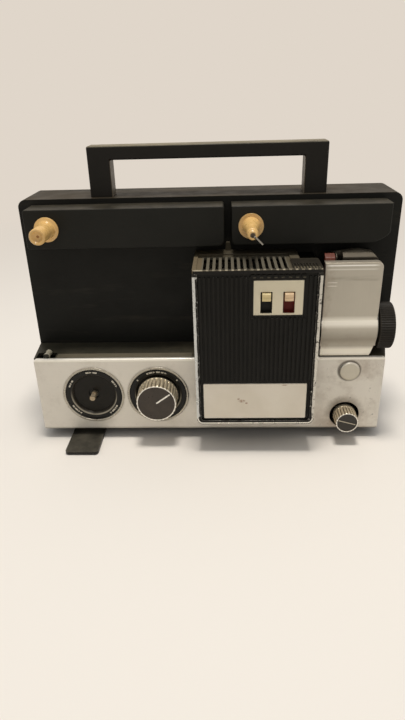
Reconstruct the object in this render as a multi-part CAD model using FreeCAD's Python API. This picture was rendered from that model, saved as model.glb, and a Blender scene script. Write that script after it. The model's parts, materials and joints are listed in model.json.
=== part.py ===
import FreeCAD, Part
import math
import os

from FreeCAD import Vector

# A compact film projector for 8 mm film, folded up for carrying, in millimetres.
# While it is drawn, X runs right from the middle of the front panel, Y runs back from its face
# and Z runs up from its lower edge. At the end every piece moves to the bottom centre of the whole.

# Case
PANEL_WIDTH = 280.0
PANEL_HEIGHT = 65.4
PANEL_THICK = 2.5
PANEL_CORNER = 2.6
PANEL_LOW_CORNER = 1.4
PANEL_EDGE = 1.0
LEDGE_DEPTH = 33.0
BODY_WIDTH = 291.0
BODY_SHIFT = 2.2
BODY_TOP = 185.0
BODY_CORNER = 6.0
BODY_EDGE = 2.0
SHELL_DEPTH = 23.0
REAR_DEPTH = 23.0
WALL = 2.5
FLOOR_THICK = 2.0
FIT_GAP = 0.2
SEAT_GAP = 0.3
SLIDE_GAP = 0.1
RUN_GAP = 0.05

# Screws of the rear cover, its louvres and the mains inlet
BOSS_RADIUS = 5.0
BOSS_RISE = 16.0
BOSS_LENGTH = 14.0
SCREW_RADIUS = 1.5
SCREW_HEAD = 2.8
SCREW_HEAD_HEIGHT = 1.6
SCREW_LENGTH = 12.0
SCREW_SINK = 19.0
LOUVRE_COUNT = 9
LOUVRE_PITCH = 6.0
LOUVRE_HEIGHT = 2.6
LOUVRE_LENGTH = 60.0
LOUVRE_SPACING = 74.0
LOUVRE_CENTRE = 25.0
LOUVRE_BOTTOM = 104.0
INLET_INSET = 59.2
INLET_Z = 20.0
INLET_WIDTH = 24.0
INLET_HEIGHT = 14.0
INLET_DEPTH = 16.0
INLET_WALL = 3.0
INLET_FLANGE = 2.0

# Feet, base and the folding stabiliser
FOOT_HEIGHT = 9.0
FOOT_RADIUS = 8.0
FOOT_INSET = 13.0
FOOT_FRONT = 27.0
FOOT_REAR = 67.0
STAB_INSET = 36.5
STAB_PIVOT_Y = 40.0
STAB_WIDTH = 27.0
STAB_REACH = 66.0
STAB_THICK = 2.4
STAB_LIFT = 0.8
STAB_LIP = 4.0
STAB_PIN_RADIUS = 2.5
STAB_SPACER = 5.0
FLOOR_VENT_COUNT = 6
FLOOR_VENT_PITCH = 8.0
FLOOR_VENT_WIDTH = 4.0
FLOOR_VENT_LENGTH = 26.0
FLOOR_VENT_LEFT = 10.0

# Reel bars along the top, measured from the sides of the body
BAR_FRONT = 12.7
BAR_TOP = 180.9
BAR_WALL = 2.2
BAR_EDGE = 0.8
BAR_INSET = 9.3
BAR_GAP = 5.5
TAKEUP_BAR_HEIGHT = 29.1
ARM_INSET = 12.0
ARM_LENGTH = 115.5
ARM_HEIGHT = 28.5
ARM_CURVE = 22.0
ARM_CORNER = 4.0
ARM_PIVOT_INSET = 14.2
ARM_BACK_THICK = 1.4
ARM_BOSS_GAP = 1.0
ARM_PIN_END = 5.0
FEED_BOSS_WALL = 2.5
REWIND_GAP = 0.5
REWIND_WHEEL_THICK = 2.5
REWIND_WHEEL_STEP = 1.0
ARM_PIN_RADIUS = 5.0
PIVOT_BOSS_RADIUS = 8.5
PIVOT_NUT = 9.0
PIVOT_NUT_THICK = 4.0

# Reel spindles, the reel clip and their drives
TAKEUP_INSET = 26.0
TAKEUP_RADIUS = 6.0
TAKEUP_REACH = 24.2
TAKEUP_SHAFT_RADIUS = 4.0
TAKEUP_END = 1.2
FEED_INSET = 14.1
FEED_RADIUS = 4.1
FEED_REACH = 30.0
FEED_NOSE = 4.8
FEED_NOSE_RADIUS = 3.7
FEED_STRAIGHT = 14.0
FEED_SHAFT_RADIUS = 2.5
FLANGE_RADIUS = 9.2
FLANGE_THICK = 1.4
CLIP_WIRE_RADIUS = 0.7
CLIP_LENGTH = 8.4
CLIP_INSET = 3.4
CLIP_OFFSET = 1.9
CLIP_EYE_RADIUS = 1.2
CLIP_PIN_RADIUS = 0.5
CLIP_SLOT = 1.7
CLIP_LEAN = 46.0
PULLEY_GROOVE = 1.5
PULLEY_WIDTH = 4.6
BELT_WIDTH = 2.6
BELT_THICK = 2.0
ARM_PULLEY = 8.0
FEED_PULLEY = 6.0
TAKEUP_DRIVE = 8.0
TAKEUP_PULLEY = 14.0

# Carrying handle
HANDLE_X = 2.2
HANDLE_SPAN = 179.0
HANDLE_POST = 17.0
HANDLE_RISE = 36.6
HANDLE_BAR = 10.0
HANDLE_FRONT = 37.5
HANDLE_DEPTH = 16.5
HANDLE_OUTER_ROUND = 3.6
HANDLE_INNER_ROUND = 1.6
HANDLE_EDGE = 1.5

# Places along the case: the film's path hangs from the right side, the cover and dials from it
SPROCKET_INSET = 33.2
SPROCKET_TO_SHUTTER = 26.0
SHUTTER_TO_FILM = 12.0
SHUTTER_TO_DRIVE = 15.0
FILM_TO_DOOR = 10.0
FILM_TO_BARREL = 6.0
BARREL_TO_RING = 27.8
COVER_TO_DOOR = 4.7
COVER_TO_SPEED = 32.5
DIAL_SPACING = 53.3
FRAMING_INSET = 18.5
BUTTON_INSET = 17.4

# Lamp cover in the middle of the front
COVER_WIDTH = 91.6
COVER_BOTTOM = 18.0
COVER_TOP = 141.0
COVER_PROUD = 22.0
COVER_WALL = 2.0
TRIM_WIDTH = 3.5
TRIM_DEPTH = 6.0
TRIM_CORNER = 5.0
RIB_COUNT = 26
RIB_HEIGHT = 1.3
RIB_SHARE = 0.5
VENT_INSET = 13.5
VENT_RISE = 3.0
VENT_STEP_DEPTH = 27.0
VENT_BORDER = 3.0
VENT_FIELD_DEPTH = 39.0
VENT_FIELD_INSET = 6.8
VENT_SINK = 1.0
VENT_GROOVE_COUNT = 8
VENT_GROOVE_LENGTH = 8.0
VENT_SLOT_COUNT = 14
VENT_PITCH = 4.44
VENT_SLOT_WIDTH = 2.3
VENT_SLOT_START = 5.0
VENT_SLOT_LENGTH = 31.5
VENT_FIRST_SLOT = 8.7
VENT_TAB_INSET = 52.3
VENT_TAB_WIDTH = 5.0
VENT_TAB_RISE = 6.5
VENT_TAB_THICK = 3.0
SERRATION_COUNT = 10

# Plates and switches on the lamp cover, measured from its sides
NAME_INSET = 5.8
NAME_WIDTH = 79.1
NAME_BOTTOM = 23.2
NAME_TOP = 53.6
PLATE_THICK = 1.2
PLATE_BORDER = 1.8
SWITCH_INSET = 12.5
SWITCH_WIDTH = 36.0
SWITCH_BOTTOM = 109.2
SWITCH_TOP = 135.8
SWITCH_SLOT_WIDTH = 8.4
SWITCH_SLOT_BOTTOM = 110.8
SWITCH_SLOT_TOP = 127.0
SWITCH_SLOT_DEPTH = 4.4
SWITCH_CAP_HEIGHT = 6.6
SWITCH_CAP_PROUD = 2.2
SWITCH_GAP = 0.3
LAMP_SWITCH_INSET = 39.0
MOTOR_SWITCH_INSET = 22.9

# Lamp, its shield and reflector
SHEET = 1.2
HOUSE_GAP = 4.3
HOUSE_DROP = 6.0
WINDOW_INSET = 6.3
WINDOW_TO_FILM = 5.4
WINDOW_DROP = 15.0
WINDOW_RISE = 33.0
AIR_HOLE_INSET = 8.0
AIR_HOLE_LENGTH = 42.0
AIR_HOLE_DROP = 8.0
AIR_HOLE_RISE = 12.0
HOUSE_TO_DRIVE = 7.0
LIGHT_HOLE_RADIUS = 10.0
SOCKET_GAP = 5.0
SOCKET_DEPTH = 6.0
SOCKET_HALF = 9.0
LAMP_BASE_RADIUS = 5.0
LAMP_BASE_LENGTH = 8.0
LAMP_RADIUS = 4.4
LAMP_LENGTH = 12.0
REFLECTOR_RADIUS = 15.0
REFLECTOR_DEPTH = 18.7

# Dials and knobs on the front panel
DIAL_Z = 32.8
DIAL_RADIUS = 23.3
DIAL_LIP = 18.8
DIAL_PROUD = 0.3
DIAL_SINK = 3.0
DIAL_THICK = 1.5
DIAL_BORE = 4.7
BUSH_WALL = 1.0
BUSH_SINK = 0.5
BEZEL_WIDTH = 1.4
BEZEL_PROUD = 0.7
SELECTOR_SHAFT_RADIUS = 2.2
SELECTOR_SHAFT_REACH = 6.0
SWITCH_BODY_RADIUS = 14.0
SWITCH_BODY_DEPTH = 17.0
TAG_COUNT = 6
SPEED_KNOB_RADIUS = 16.3
SPEED_KNOB_REACH = 15.0
SPEED_SHAFT_RADIUS = 3.0
KNOB_RIM = 1.6
KNOB_DISH = 0.8
KNOB_RIDGE_COUNT = 30
KNOB_RIDGE = 0.6
FRAMING_Z = 12.9
FRAMING_HOLE = 12.0
FRAMING_RADIUS = 9.3
FRAMING_REACH = 13.0
FRAMING_SHAFT_RADIUS = 3.0
FRAMING_RIDGE_COUNT = 24
LUG_WIDTH = 14.0
LUG_FRONT = 12.0
LUG_THICK = 3.0
BUTTON_Z = 53.0
BUTTON_RADIUS = 8.0
BUTTON_PROUD = 1.6
BUTTON_COLLAR = 1.4

# Optical line, which runs right along X through lamp, shutter, gate and lens
LENS_Y = 13.0
LENS_Z = 87.0
MOUNT_RADIUS = 12.7
MOUNT_FOOT_INSET = 3.0
MOUNT_FOOT_LENGTH = 18.0
MOUNT_FOOT_SINK = 6.0
MOUNT_FOOT_HALF = 8.0
BARREL_RADIUS = 10.2
BARREL_BORE = 8.0
BARREL_LENGTH = 35.0
BARREL_TRAVEL = 1.5
LENS_BALL = 24.0
RING_RADIUS = 18.2
RING_WIDTH = 11.8
RING_LAP = 2.6
RING_EDGE = 0.8
RING_RIDGE_COUNT = 30
RING_RIDGE = 0.7
FILM_SLOT = 4.4
FILM_HALF = 4.1
APERTURE_WIDTH = 5.4
APERTURE_HEIGHT = 4.1
MASK_THICK = 0.8
MASK_HALF = 11.0
GATE_THICK = 4.4
GATE_FRONT = 4.2
GATE_BACK = 24.0
GATE_BOTTOM = 69.5
GATE_TOP = 135.5

# Loop lever and the guide at the film's entry
LEVER_WIDTH = 7.2
LEVER_DEPTH = 7.4
LEVER_RISE = 4.5
LEVER_TRAVEL = 3.0
STEM_SIZE = 3.0
STEM_GUIDE_Z = 124.0
GUIDE_DEPTH = 12.0
GUIDE_DROP = 4.0
GUIDE_RISE = 5.4

# Film's way out through the ledge
NOTCH_INSET = 1.2
NOTCH_LENGTH = 15.5
NOTCH_WIDTH = 9.6
ROLLER_RISE = 0.9
ROLLER_RADIUS = 3.0
ROLLER_PIN_RADIUS = 1.2
TRACK_WIDTH = 7.6

# Gate door
DOOR_WIDTH = 42.4
DOOR_BOTTOM = 66.7
DOOR_TOP = 141.5
DOOR_THICK = 1.2
DOOR_RIM = 6.0
DOOR_EDGE = 0.9
DOOR_CORNER = 4.0
DOOR_HEEL = 15.5
DOOR_HEEL_CUT = 3.8
BULGE_RADIUS = 16.0
COVE_RADIUS = 9.0
HINGE_INSET = 2.5
HINGE_Y = 3.4
HINGE_PIN_RADIUS = 1.0
KNUCKLE_RADIUS = 2.0
KNUCKLE_HEIGHT = 3.4
KNUCKLE_GAP = 0.6
EAR_RADIUS = 2.1
EAR_HEIGHT = 3.6

# Shutter, drive and film transport
SHUTTER_Y = 39.5
SHUTTER_THICK = 1.0
SHUTTER_SLOT = 2.0
SHUTTER_SHAFT_RADIUS = 2.5
SHUTTER_BLADE_COUNT = 3
WORM_RADIUS = 3.8
WORM_HALF = 8.0
CAM_RADIUS = 4.5
CLAW_STROKE = 2.1
CLAW_THICK = 1.6
CLAW_TO_LENS = 4.5
DRIVE_PULLEY = 12.0
MOTOR_PULLEY = 5.0
MOTOR_Y = 55.5
MOTOR_Z = 155.0
MOTOR_RADIUS = 19.0
MOTOR_WALL = 3.0
MOTOR_LENGTH = 54.0
MOTOR_SHAFT_RADIUS = 2.5
FAN_RADIUS = 17.0
FAN_WIDTH = 16.0
FAN_GAP = 6.0
FAN_BLADE_COUNT = 8
WHEEL_RADIUS = 25.05
SPROCKET_RADIUS = 9.4
SPROCKET_HALF = 5.0
SPROCKET_TOOTH_COUNT = 12
SPROCKET_SHAFT_RADIUS = 2.5
CHASSIS_Y = 48.0
CHASSIS_THICK = 2.0
CHASSIS_BOTTOM = 24.0
CHASSIS_REACH = 22.0
CHASSIS_RISE = 5.0
STANDOFF_RADIUS = 4.0
STANDOFF_INSET = 5.0
STANDOFF_DROP = 18.0
STANDOFF_TO_DRIVE = 9.0
STANDOFF_TO_BEARING = 6.0
STANDOFF_OVER_LENS = 15.0
STANDOFF_UNDER_LENS = 19.5
LUG_SHEET = 2.5
TRANSFORMER_INSET = 19.0
TRANSFORMER_WIDTH = 50.0
TRANSFORMER_HEIGHT = 50.0
TRANSFORMER_FRONT = 38.0
TRANSFORMER_BACK = 66.0
COIL_STEP = 6.0

# Worked out once from the sizes above: the case
WALL_Y = LEDGE_DEPTH
WALL_INNER_Y = WALL_Y + WALL
JOIN_Y = WALL_Y + SHELL_DEPTH
REAR_Y = JOIN_Y + REAR_DEPTH
HALF_PANEL = PANEL_WIDTH / 2
HALF_BODY = BODY_WIDTH / 2
LEDGE_UNDER = PANEL_HEIGHT - WALL
LEFT_SIDE = BODY_SHIFT - HALF_BODY
RIGHT_SIDE = BODY_SHIFT + HALF_BODY
INNER_LEFT = LEFT_SIDE + WALL
INNER_RIGHT = RIGHT_SIDE - WALL
FLOOR_Z = -FOOT_HEIGHT
PANEL_BACK = PANEL_THICK
BOSS_INSET = BOSS_RADIUS - WALL / 2
BOSS_PLACES = [(x, z) for x in (INNER_LEFT + BOSS_INSET, INNER_RIGHT - BOSS_INSET)
               for z in (BOSS_RISE, BODY_TOP - BOSS_RISE)]
SCREW_SEAT_Y = REAR_Y - SCREW_SINK
INLET_X = INNER_RIGHT - INLET_INSET
FOOT_SIDE = HALF_PANEL - FOOT_INSET
STAB_X = -HALF_PANEL + STAB_INSET
STAB_TOP = FLOOR_Z + STAB_LIFT + STAB_THICK
STAB_TIP_Y = STAB_PIVOT_Y - STAB_REACH
ORIGIN_Y = (REAR_Y + STAB_TIP_Y) / 2

# Worked out: film path, lens and drive
SPROCKET_X = INNER_RIGHT - SPROCKET_INSET
SHUTTER_X = SPROCKET_X - SPROCKET_TO_SHUTTER
FILM_X = SHUTTER_X + SHUTTER_TO_FILM
DRIVE_X = SHUTTER_X - SHUTTER_TO_DRIVE
DOOR_LEFT = FILM_X - FILM_TO_DOOR
DOOR_RIGHT = DOOR_LEFT + DOOR_WIDTH
BARREL_LEFT = FILM_X + FILM_TO_BARREL
BARREL_RIGHT = BARREL_LEFT + BARREL_LENGTH
RING_LEFT = BARREL_LEFT + BARREL_TO_RING
RING_RIGHT = RING_LEFT + RING_WIDTH
HINGE_X = DOOR_LEFT + HINGE_INSET
EAR_LOW = DOOR_BOTTOM + KNUCKLE_GAP + KNUCKLE_HEIGHT + SLIDE_GAP
EAR_HIGH = STEM_GUIDE_Z - EAR_HEIGHT
GATE_RIGHT = FILM_X - SLIDE_GAP * 6
GATE_LEFT = GATE_RIGHT - GATE_THICK
MASK_LEFT = GATE_LEFT - MASK_THICK - SLIDE_GAP
MASK_FRONT = LENS_Y - 6.0
MASK_BACK = LENS_Y + 3.0
LEVER_LEFT = DOOR_LEFT + DOOR_THICK
LEVER_RIGHT = LEVER_LEFT + LEVER_WIDTH
LEVER_FRONT = DOOR_RIM + 1.6
LEVER_BACK = LEVER_FRONT + LEVER_DEPTH
STEM_X = LEVER_LEFT + 0.4
STEM_Y = LEVER_FRONT + 2.2
BEAM_Y = SHUTTER_Y - LENS_Y
SHUTTER_RADIUS = BEAM_Y + APERTURE_HEIGHT
CLAW_Y = LENS_Y + CLAW_TO_LENS
CLAW_LEFT = SHUTTER_X + SHUTTER_THICK / 2 + 3.5
SPROCKET_Z = LENS_Z - WORM_RADIUS - WHEEL_RADIUS - 3 * RUN_GAP
WORM_LEFT = SPROCKET_X - WORM_HALF
WORM_RIGHT = SPROCKET_X + WORM_HALF
BEARING_LEFT = DRIVE_X - 11.0
BEARING_RIGHT = WORM_RIGHT + 6.0
MOTOR_RIGHT = DRIVE_X - 11.0
MOTOR_LEFT = MOTOR_RIGHT - MOTOR_LENGTH
FAN_RIGHT = MOTOR_LEFT - FAN_GAP
CHASSIS_RIGHT = SPROCKET_X + CHASSIS_REACH
CHASSIS_TOP = MOTOR_Z + CHASSIS_RISE
STANDOFF_HIGH_Z = CHASSIS_TOP - STANDOFF_DROP
STANDOFF_RIGHT_X = CHASSIS_RIGHT - STANDOFF_INSET
STANDOFFS = [(DRIVE_X + STANDOFF_TO_DRIVE, STANDOFF_HIGH_Z), (STANDOFF_RIGHT_X, STANDOFF_HIGH_Z),
             (STANDOFF_RIGHT_X, LENS_Z + STANDOFF_OVER_LENS),
             (BEARING_LEFT + STANDOFF_TO_BEARING, LENS_Z - STANDOFF_UNDER_LENS)]
TRANSFORMER_LEFT = INNER_LEFT + TRANSFORMER_INSET

# Worked out: lamp cover, switches, dials
COVER_RIGHT = DOOR_LEFT - COVER_TO_DOOR
COVER_LEFT = COVER_RIGHT - COVER_WIDTH
COVER_FRONT = -COVER_PROUD
COVER_FACE = COVER_FRONT + RIB_HEIGHT
COVER_INNER_FRONT = COVER_FACE + COVER_WALL
TRIM_BACK = COVER_FRONT + TRIM_DEPTH
VENT_RIGHT = COVER_RIGHT - VENT_INSET
VENT_TAB_X = VENT_RIGHT - VENT_TAB_INSET
NAME_LEFT = COVER_LEFT + NAME_INSET
NAME_RIGHT = NAME_LEFT + NAME_WIDTH
SWITCH_RIGHT = COVER_RIGHT - SWITCH_INSET
SWITCH_LEFT = SWITCH_RIGHT - SWITCH_WIDTH
LAMP_SWITCH_X = COVER_RIGHT - LAMP_SWITCH_INSET
MOTOR_SWITCH_X = COVER_RIGHT - MOTOR_SWITCH_INSET
SWITCH_FLOOR = COVER_FACE + SWITCH_SLOT_DEPTH
LAMP_HOUSE_LEFT = COVER_LEFT + HOUSE_GAP
LAMP_HOUSE_RIGHT = DRIVE_X - HOUSE_TO_DRIVE
LAMP_HOUSE_FRONT = TRIM_BACK + COVER_WALL + 1.0
LAMP_HOUSE_BACK = WALL_Y - 3.0
LAMP_HOUSE_TOP = COVER_TOP - HOUSE_DROP
SOCKET_X = LAMP_HOUSE_LEFT + SOCKET_GAP
LAMP_BASE_X = SOCKET_X + SOCKET_DEPTH
WINDOW_LEFT = COVER_LEFT + WINDOW_INSET
WINDOW_RIGHT = FILM_X - WINDOW_TO_FILM
WINDOW_BOTTOM = LENS_Z - WINDOW_DROP
WINDOW_TOP = LENS_Z + WINDOW_RISE
SPEED_X = COVER_LEFT - COVER_TO_SPEED
SELECTOR_X = SPEED_X - DIAL_SPACING
FRAMING_X = DOOR_RIGHT - FRAMING_INSET
BUTTON_X = DOOR_RIGHT - BUTTON_INSET
BUTTON_BACK = PANEL_BACK + BUTTON_COLLAR
DIAL_FRONT = -DIAL_PROUD
DIAL_FLOOR = DIAL_FRONT + DIAL_SINK
SHAFT_END_Y = DIAL_FLOOR + DIAL_THICK + SWITCH_BODY_DEPTH - 2.5

# Worked out: reel bars, spindles, ledge
TAKEUP_X = LEFT_SIDE + TAKEUP_INSET
TAKEUP_BAR_LEFT = LEFT_SIDE + BAR_INSET
ARM_RIGHT = RIGHT_SIDE - ARM_INSET
ARM_LEFT = ARM_RIGHT - ARM_LENGTH
TAKEUP_BAR_RIGHT = ARM_LEFT - BAR_GAP
FEED_X = ARM_LEFT + FEED_INSET
ARM_BOTTOM = BAR_TOP - ARM_HEIGHT
TAKEUP_BAR_BOTTOM = BAR_TOP - TAKEUP_BAR_HEIGHT
SPINDLE_Z = BAR_TOP - ARM_HEIGHT / 2
ARM_PIVOT_X = ARM_RIGHT - ARM_PIVOT_INSET
ARM_REAR = WALL_Y - SEAT_GAP
ARM_BELT_Y = BAR_FRONT + BAR_WALL + 4.0
TAKEUP_BELT_Y = REAR_Y - WALL - SEAT_GAP - TAKEUP_END - FIT_GAP - PULLEY_WIDTH / 2
FEED_TIP_Y = BAR_FRONT - FEED_REACH
CLIP_Y = FEED_TIP_Y + CLIP_INSET
NOTCH_LEFT = -HALF_PANEL + NOTCH_INSET
NOTCH_RIGHT = NOTCH_LEFT + NOTCH_LENGTH
NOTCH_FRONT = PANEL_BACK + 1.0
NOTCH_REAR = NOTCH_FRONT + NOTCH_WIDTH
ROLLER_X = NOTCH_RIGHT - 6.5
ROLLER_Z = PANEL_HEIGHT + ROLLER_RISE
TRACK_LEFT = NOTCH_RIGHT + 1.2
TRACK_RIGHT = COVER_LEFT - 3.7
TRACK_FRONT = PANEL_BACK + 0.4
TRACK_REAR = TRACK_FRONT + TRACK_WIDTH
TRACK_FLOOR = DIAL_Z + DIAL_RADIUS + 1.5


def box(x0, x1, y0, y1, z0, z1):
    return Part.makeBox(x1 - x0, y1 - y0, z1 - z0, Vector(x0, y0, z0))


def rod_x(y, z, radius, x0, x1):
    return Part.makeCylinder(radius, x1 - x0, Vector(x0, y, z), Vector(1, 0, 0))


def rod_y(x, z, radius, y0, y1):
    return Part.makeCylinder(radius, y1 - y0, Vector(x, y0, z), Vector(0, 1, 0))


def rod_z(x, y, radius, z0, z1):
    return Part.makeCylinder(radius, z1 - z0, Vector(x, y, z0), Vector(0, 0, 1))


def cone_y(x, z, r0, r1, y0, y1):
    return Part.makeCone(r0, r1, y1 - y0, Vector(x, y0, z), Vector(0, 1, 0))


def closed_wire(points, radii):
    # A closed outline with each corner rounded by its own radius
    count = len(points)
    corners = []
    for i in range(count):
        here = points[i]
        to_last = (points[i - 1] - here).normalize()
        to_next = (points[(i + 1) % count] - here).normalize()
        if radii[i] <= 0:
            corners.append((here, None, here))
            continue
        half = to_last.getAngle(to_next) / 2
        reach = radii[i] / math.tan(half)
        inward = (to_last + to_next).normalize()
        middle = here + inward * (radii[i] / math.sin(half) - radii[i])
        corners.append((here + to_last * reach, middle, here + to_next * reach))
    edges = []
    for i in range(count):
        start, middle, end = corners[i]
        if middle is not None:
            edges.append(Part.Arc(start, middle, end).toShape())
        following = corners[(i + 1) % count][0]
        if (following - end).Length > 1e-6:
            edges.append(Part.makeLine(end, following))
    return Part.Wire(edges)


def spread(radii, count):
    return radii if isinstance(radii, (list, tuple)) else [radii] * count


def plate_y(points, radii, y0, y1):
    # An outline in X and Z, given depth along Y
    wire = closed_wire([Vector(x, y0, z) for x, z in points], spread(radii, len(points)))
    return Part.Face(wire).extrude(Vector(0, y1 - y0, 0))


def plate_z(points, radii, z0, z1):
    # An outline in X and Y, given height along Z
    wire = closed_wire([Vector(x, y, z0) for x, y in points], spread(radii, len(points)))
    return Part.Face(wire).extrude(Vector(0, 0, z1 - z0))


def plate_x(points, radii, x0, x1):
    # An outline in Y and Z, given width along X
    wire = closed_wire([Vector(x0, y, z) for y, z in points], spread(radii, len(points)))
    return Part.Face(wire).extrude(Vector(x1 - x0, 0, 0))


def panel_y(x0, x1, z0, z1, radii, y0, y1):
    return plate_y([(x0, z0), (x1, z0), (x1, z1), (x0, z1)], radii, y0, y1)


def turned_y(x, z, profile):
    # A round piece about a line along Y, from pairs of radius and Y
    wire = Part.makePolygon([Vector(x + r, y, z) for r, y in profile + profile[:1]])
    return Part.Face(wire).revolve(Vector(x, 0, z), Vector(0, 1, 0), 360)


def turned_x(y, z, profile):
    # A round piece about a line along X, from pairs of radius and X
    wire = Part.makePolygon([Vector(x, y + r, z) for r, x in profile + profile[:1]])
    return Part.Face(wire).revolve(Vector(0, y, z), Vector(1, 0, 0), 360)


def join(first, others):
    shape = first.fuse(others) if others else first
    return shape.removeSplitter()


def cut(shape, tools):
    return shape.cut(tools) if tools else shape


def edges_at_y(shape, y):
    found = []
    for edge in shape.Edges:
        extent = edge.BoundBox
        if abs(extent.YMin - y) < 1e-4 and abs(extent.YMax - y) < 1e-4:
            found.append(edge)
    return found


def soften_at_y(shape, y, radius):
    return shape.makeFillet(radius, edges_at_y(shape, y))


def turn_x(shape, y, z, degrees):
    copy = shape.copy()
    copy.rotate(Vector(0, y, z), Vector(1, 0, 0), degrees)
    return copy


def turn_y(shape, x, z, degrees):
    copy = shape.copy()
    copy.rotate(Vector(x, 0, z), Vector(0, 1, 0), degrees)
    return copy


def belt_outline(start, start_radius, end, end_radius, place):
    # Two straight runs and two arcs about a pair of pulleys, in one plane
    along = end[0] - start[0], end[1] - start[1]
    heading = math.atan2(along[1], along[0])
    lean = math.acos((start_radius - end_radius) / math.hypot(*along))

    def rim(centre, radius, angle):
        return place(centre[0] + radius * math.cos(angle), centre[1] + radius * math.sin(angle))

    start_up = rim(start, start_radius, heading + lean)
    start_down = rim(start, start_radius, heading - lean)
    end_up = rim(end, end_radius, heading + lean)
    end_down = rim(end, end_radius, heading - lean)
    return Part.Face(Part.Wire([
        Part.makeLine(start_up, end_up),
        Part.Arc(end_up, rim(end, end_radius, heading), end_down).toShape(),
        Part.makeLine(end_down, start_down),
        Part.Arc(start_down, rim(start, start_radius, heading + math.pi), start_up).toShape(),
    ]))


def belt(start, start_radius, end, end_radius, place, width):
    # A belt that lies in the pulley grooves; width is the vector across it
    lift = RUN_GAP - PULLEY_GROOVE
    inner = belt_outline(start, start_radius + lift, end, end_radius + lift, place)
    lift += BELT_THICK
    outer = belt_outline(start, start_radius + lift, end, end_radius + lift, place)
    return outer.cut(inner).extrude(width)


def inner_plan(gap):
    # Plan of the space inside the case walls, less a gap all round
    front = PANEL_BACK + gap
    front_side = HALF_PANEL - WALL - gap
    left, right = INNER_LEFT + gap, INNER_RIGHT - gap
    rear = REAR_Y - WALL - gap
    return [(-front_side, front), (front_side, front), (right, WALL_Y), (right, rear), (left, rear),
            (left, WALL_Y)]


def body_outline(inset):
    left, right = LEFT_SIDE + inset, RIGHT_SIDE - inset
    return [(left, 0), (right, 0), (right, BODY_TOP - inset), (left, BODY_TOP - inset)]


def body_corners(inset):
    corner = BODY_CORNER - inset
    return [0, 0, corner, corner]


def front_panel():
    corners = [PANEL_LOW_CORNER, PANEL_LOW_CORNER, PANEL_CORNER, PANEL_CORNER]
    panel = panel_y(-HALF_PANEL, HALF_PANEL, 0, PANEL_HEIGHT, corners, 0, PANEL_BACK)
    panel = soften_at_y(panel, 0, PANEL_EDGE)
    hole = DIAL_RADIUS + FIT_GAP
    bezels = []
    holes = [
        rod_y(BUTTON_X, BUTTON_Z, BUTTON_RADIUS + SLIDE_GAP, -1, PANEL_BACK + 1),
        rod_y(FRAMING_X, FRAMING_Z, FRAMING_HOLE, -1, PANEL_BACK + 1),
    ]
    for x in (SELECTOR_X, SPEED_X):
        bezels.append(cone_y(x, DIAL_Z, hole + BEZEL_WIDTH / 2, hole + BEZEL_WIDTH, -BEZEL_PROUD, 0))
        holes.append(rod_y(x, DIAL_Z, hole, -BEZEL_PROUD - 1, PANEL_BACK + 1))
    return cut(join(panel, bezels), holes)


def deck():
    # The dark ledge behind the panel, with its side cheeks
    outer = plate_z([(-HALF_PANEL, PANEL_BACK), (HALF_PANEL, PANEL_BACK), (RIGHT_SIDE, WALL_Y),
                     (LEFT_SIDE, WALL_Y)], 0, 0, PANEL_HEIGHT)
    inner = plate_z(inner_plan(0), 0, -1, LEDGE_UNDER)
    compartment = box(DOOR_LEFT + 3, DOOR_RIGHT - 8, DOOR_RIM, WALL_Y - 3, LEDGE_UNDER - 1, PANEL_HEIGHT + 1)
    disc_slot = box(SHUTTER_X - SHUTTER_SLOT, SHUTTER_X + SHUTTER_SLOT, SHUTTER_Y - SHUTTER_RADIUS - 1,
                    WALL_Y + 1, LEDGE_UNDER - 1, PANEL_HEIGHT + 1)
    notch = box(NOTCH_LEFT, NOTCH_RIGHT, NOTCH_FRONT, NOTCH_REAR, LEDGE_UNDER - 1, PANEL_HEIGHT + 1)
    track = box(TRACK_LEFT, TRACK_RIGHT, TRACK_FRONT, TRACK_REAR, LEDGE_UNDER - 1, PANEL_HEIGHT + 1)
    ledge = cut(outer, [inner, compartment, disc_slot, notch, track])
    ear_top = ROLLER_Z + ROLLER_PIN_RADIUS + 1
    ears = []
    for y0, y1 in ((NOTCH_FRONT - 1, NOTCH_FRONT), (NOTCH_REAR, NOTCH_REAR + 1)):
        ears.append(box(ROLLER_X - 2, ROLLER_X + 2, y0, y1, PANEL_HEIGHT, ear_top))
    pin = rod_y(ROLLER_X, ROLLER_Z, ROLLER_PIN_RADIUS, NOTCH_FRONT - 1, NOTCH_REAR + 1)
    return join(ledge, ears + [pin])


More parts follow.
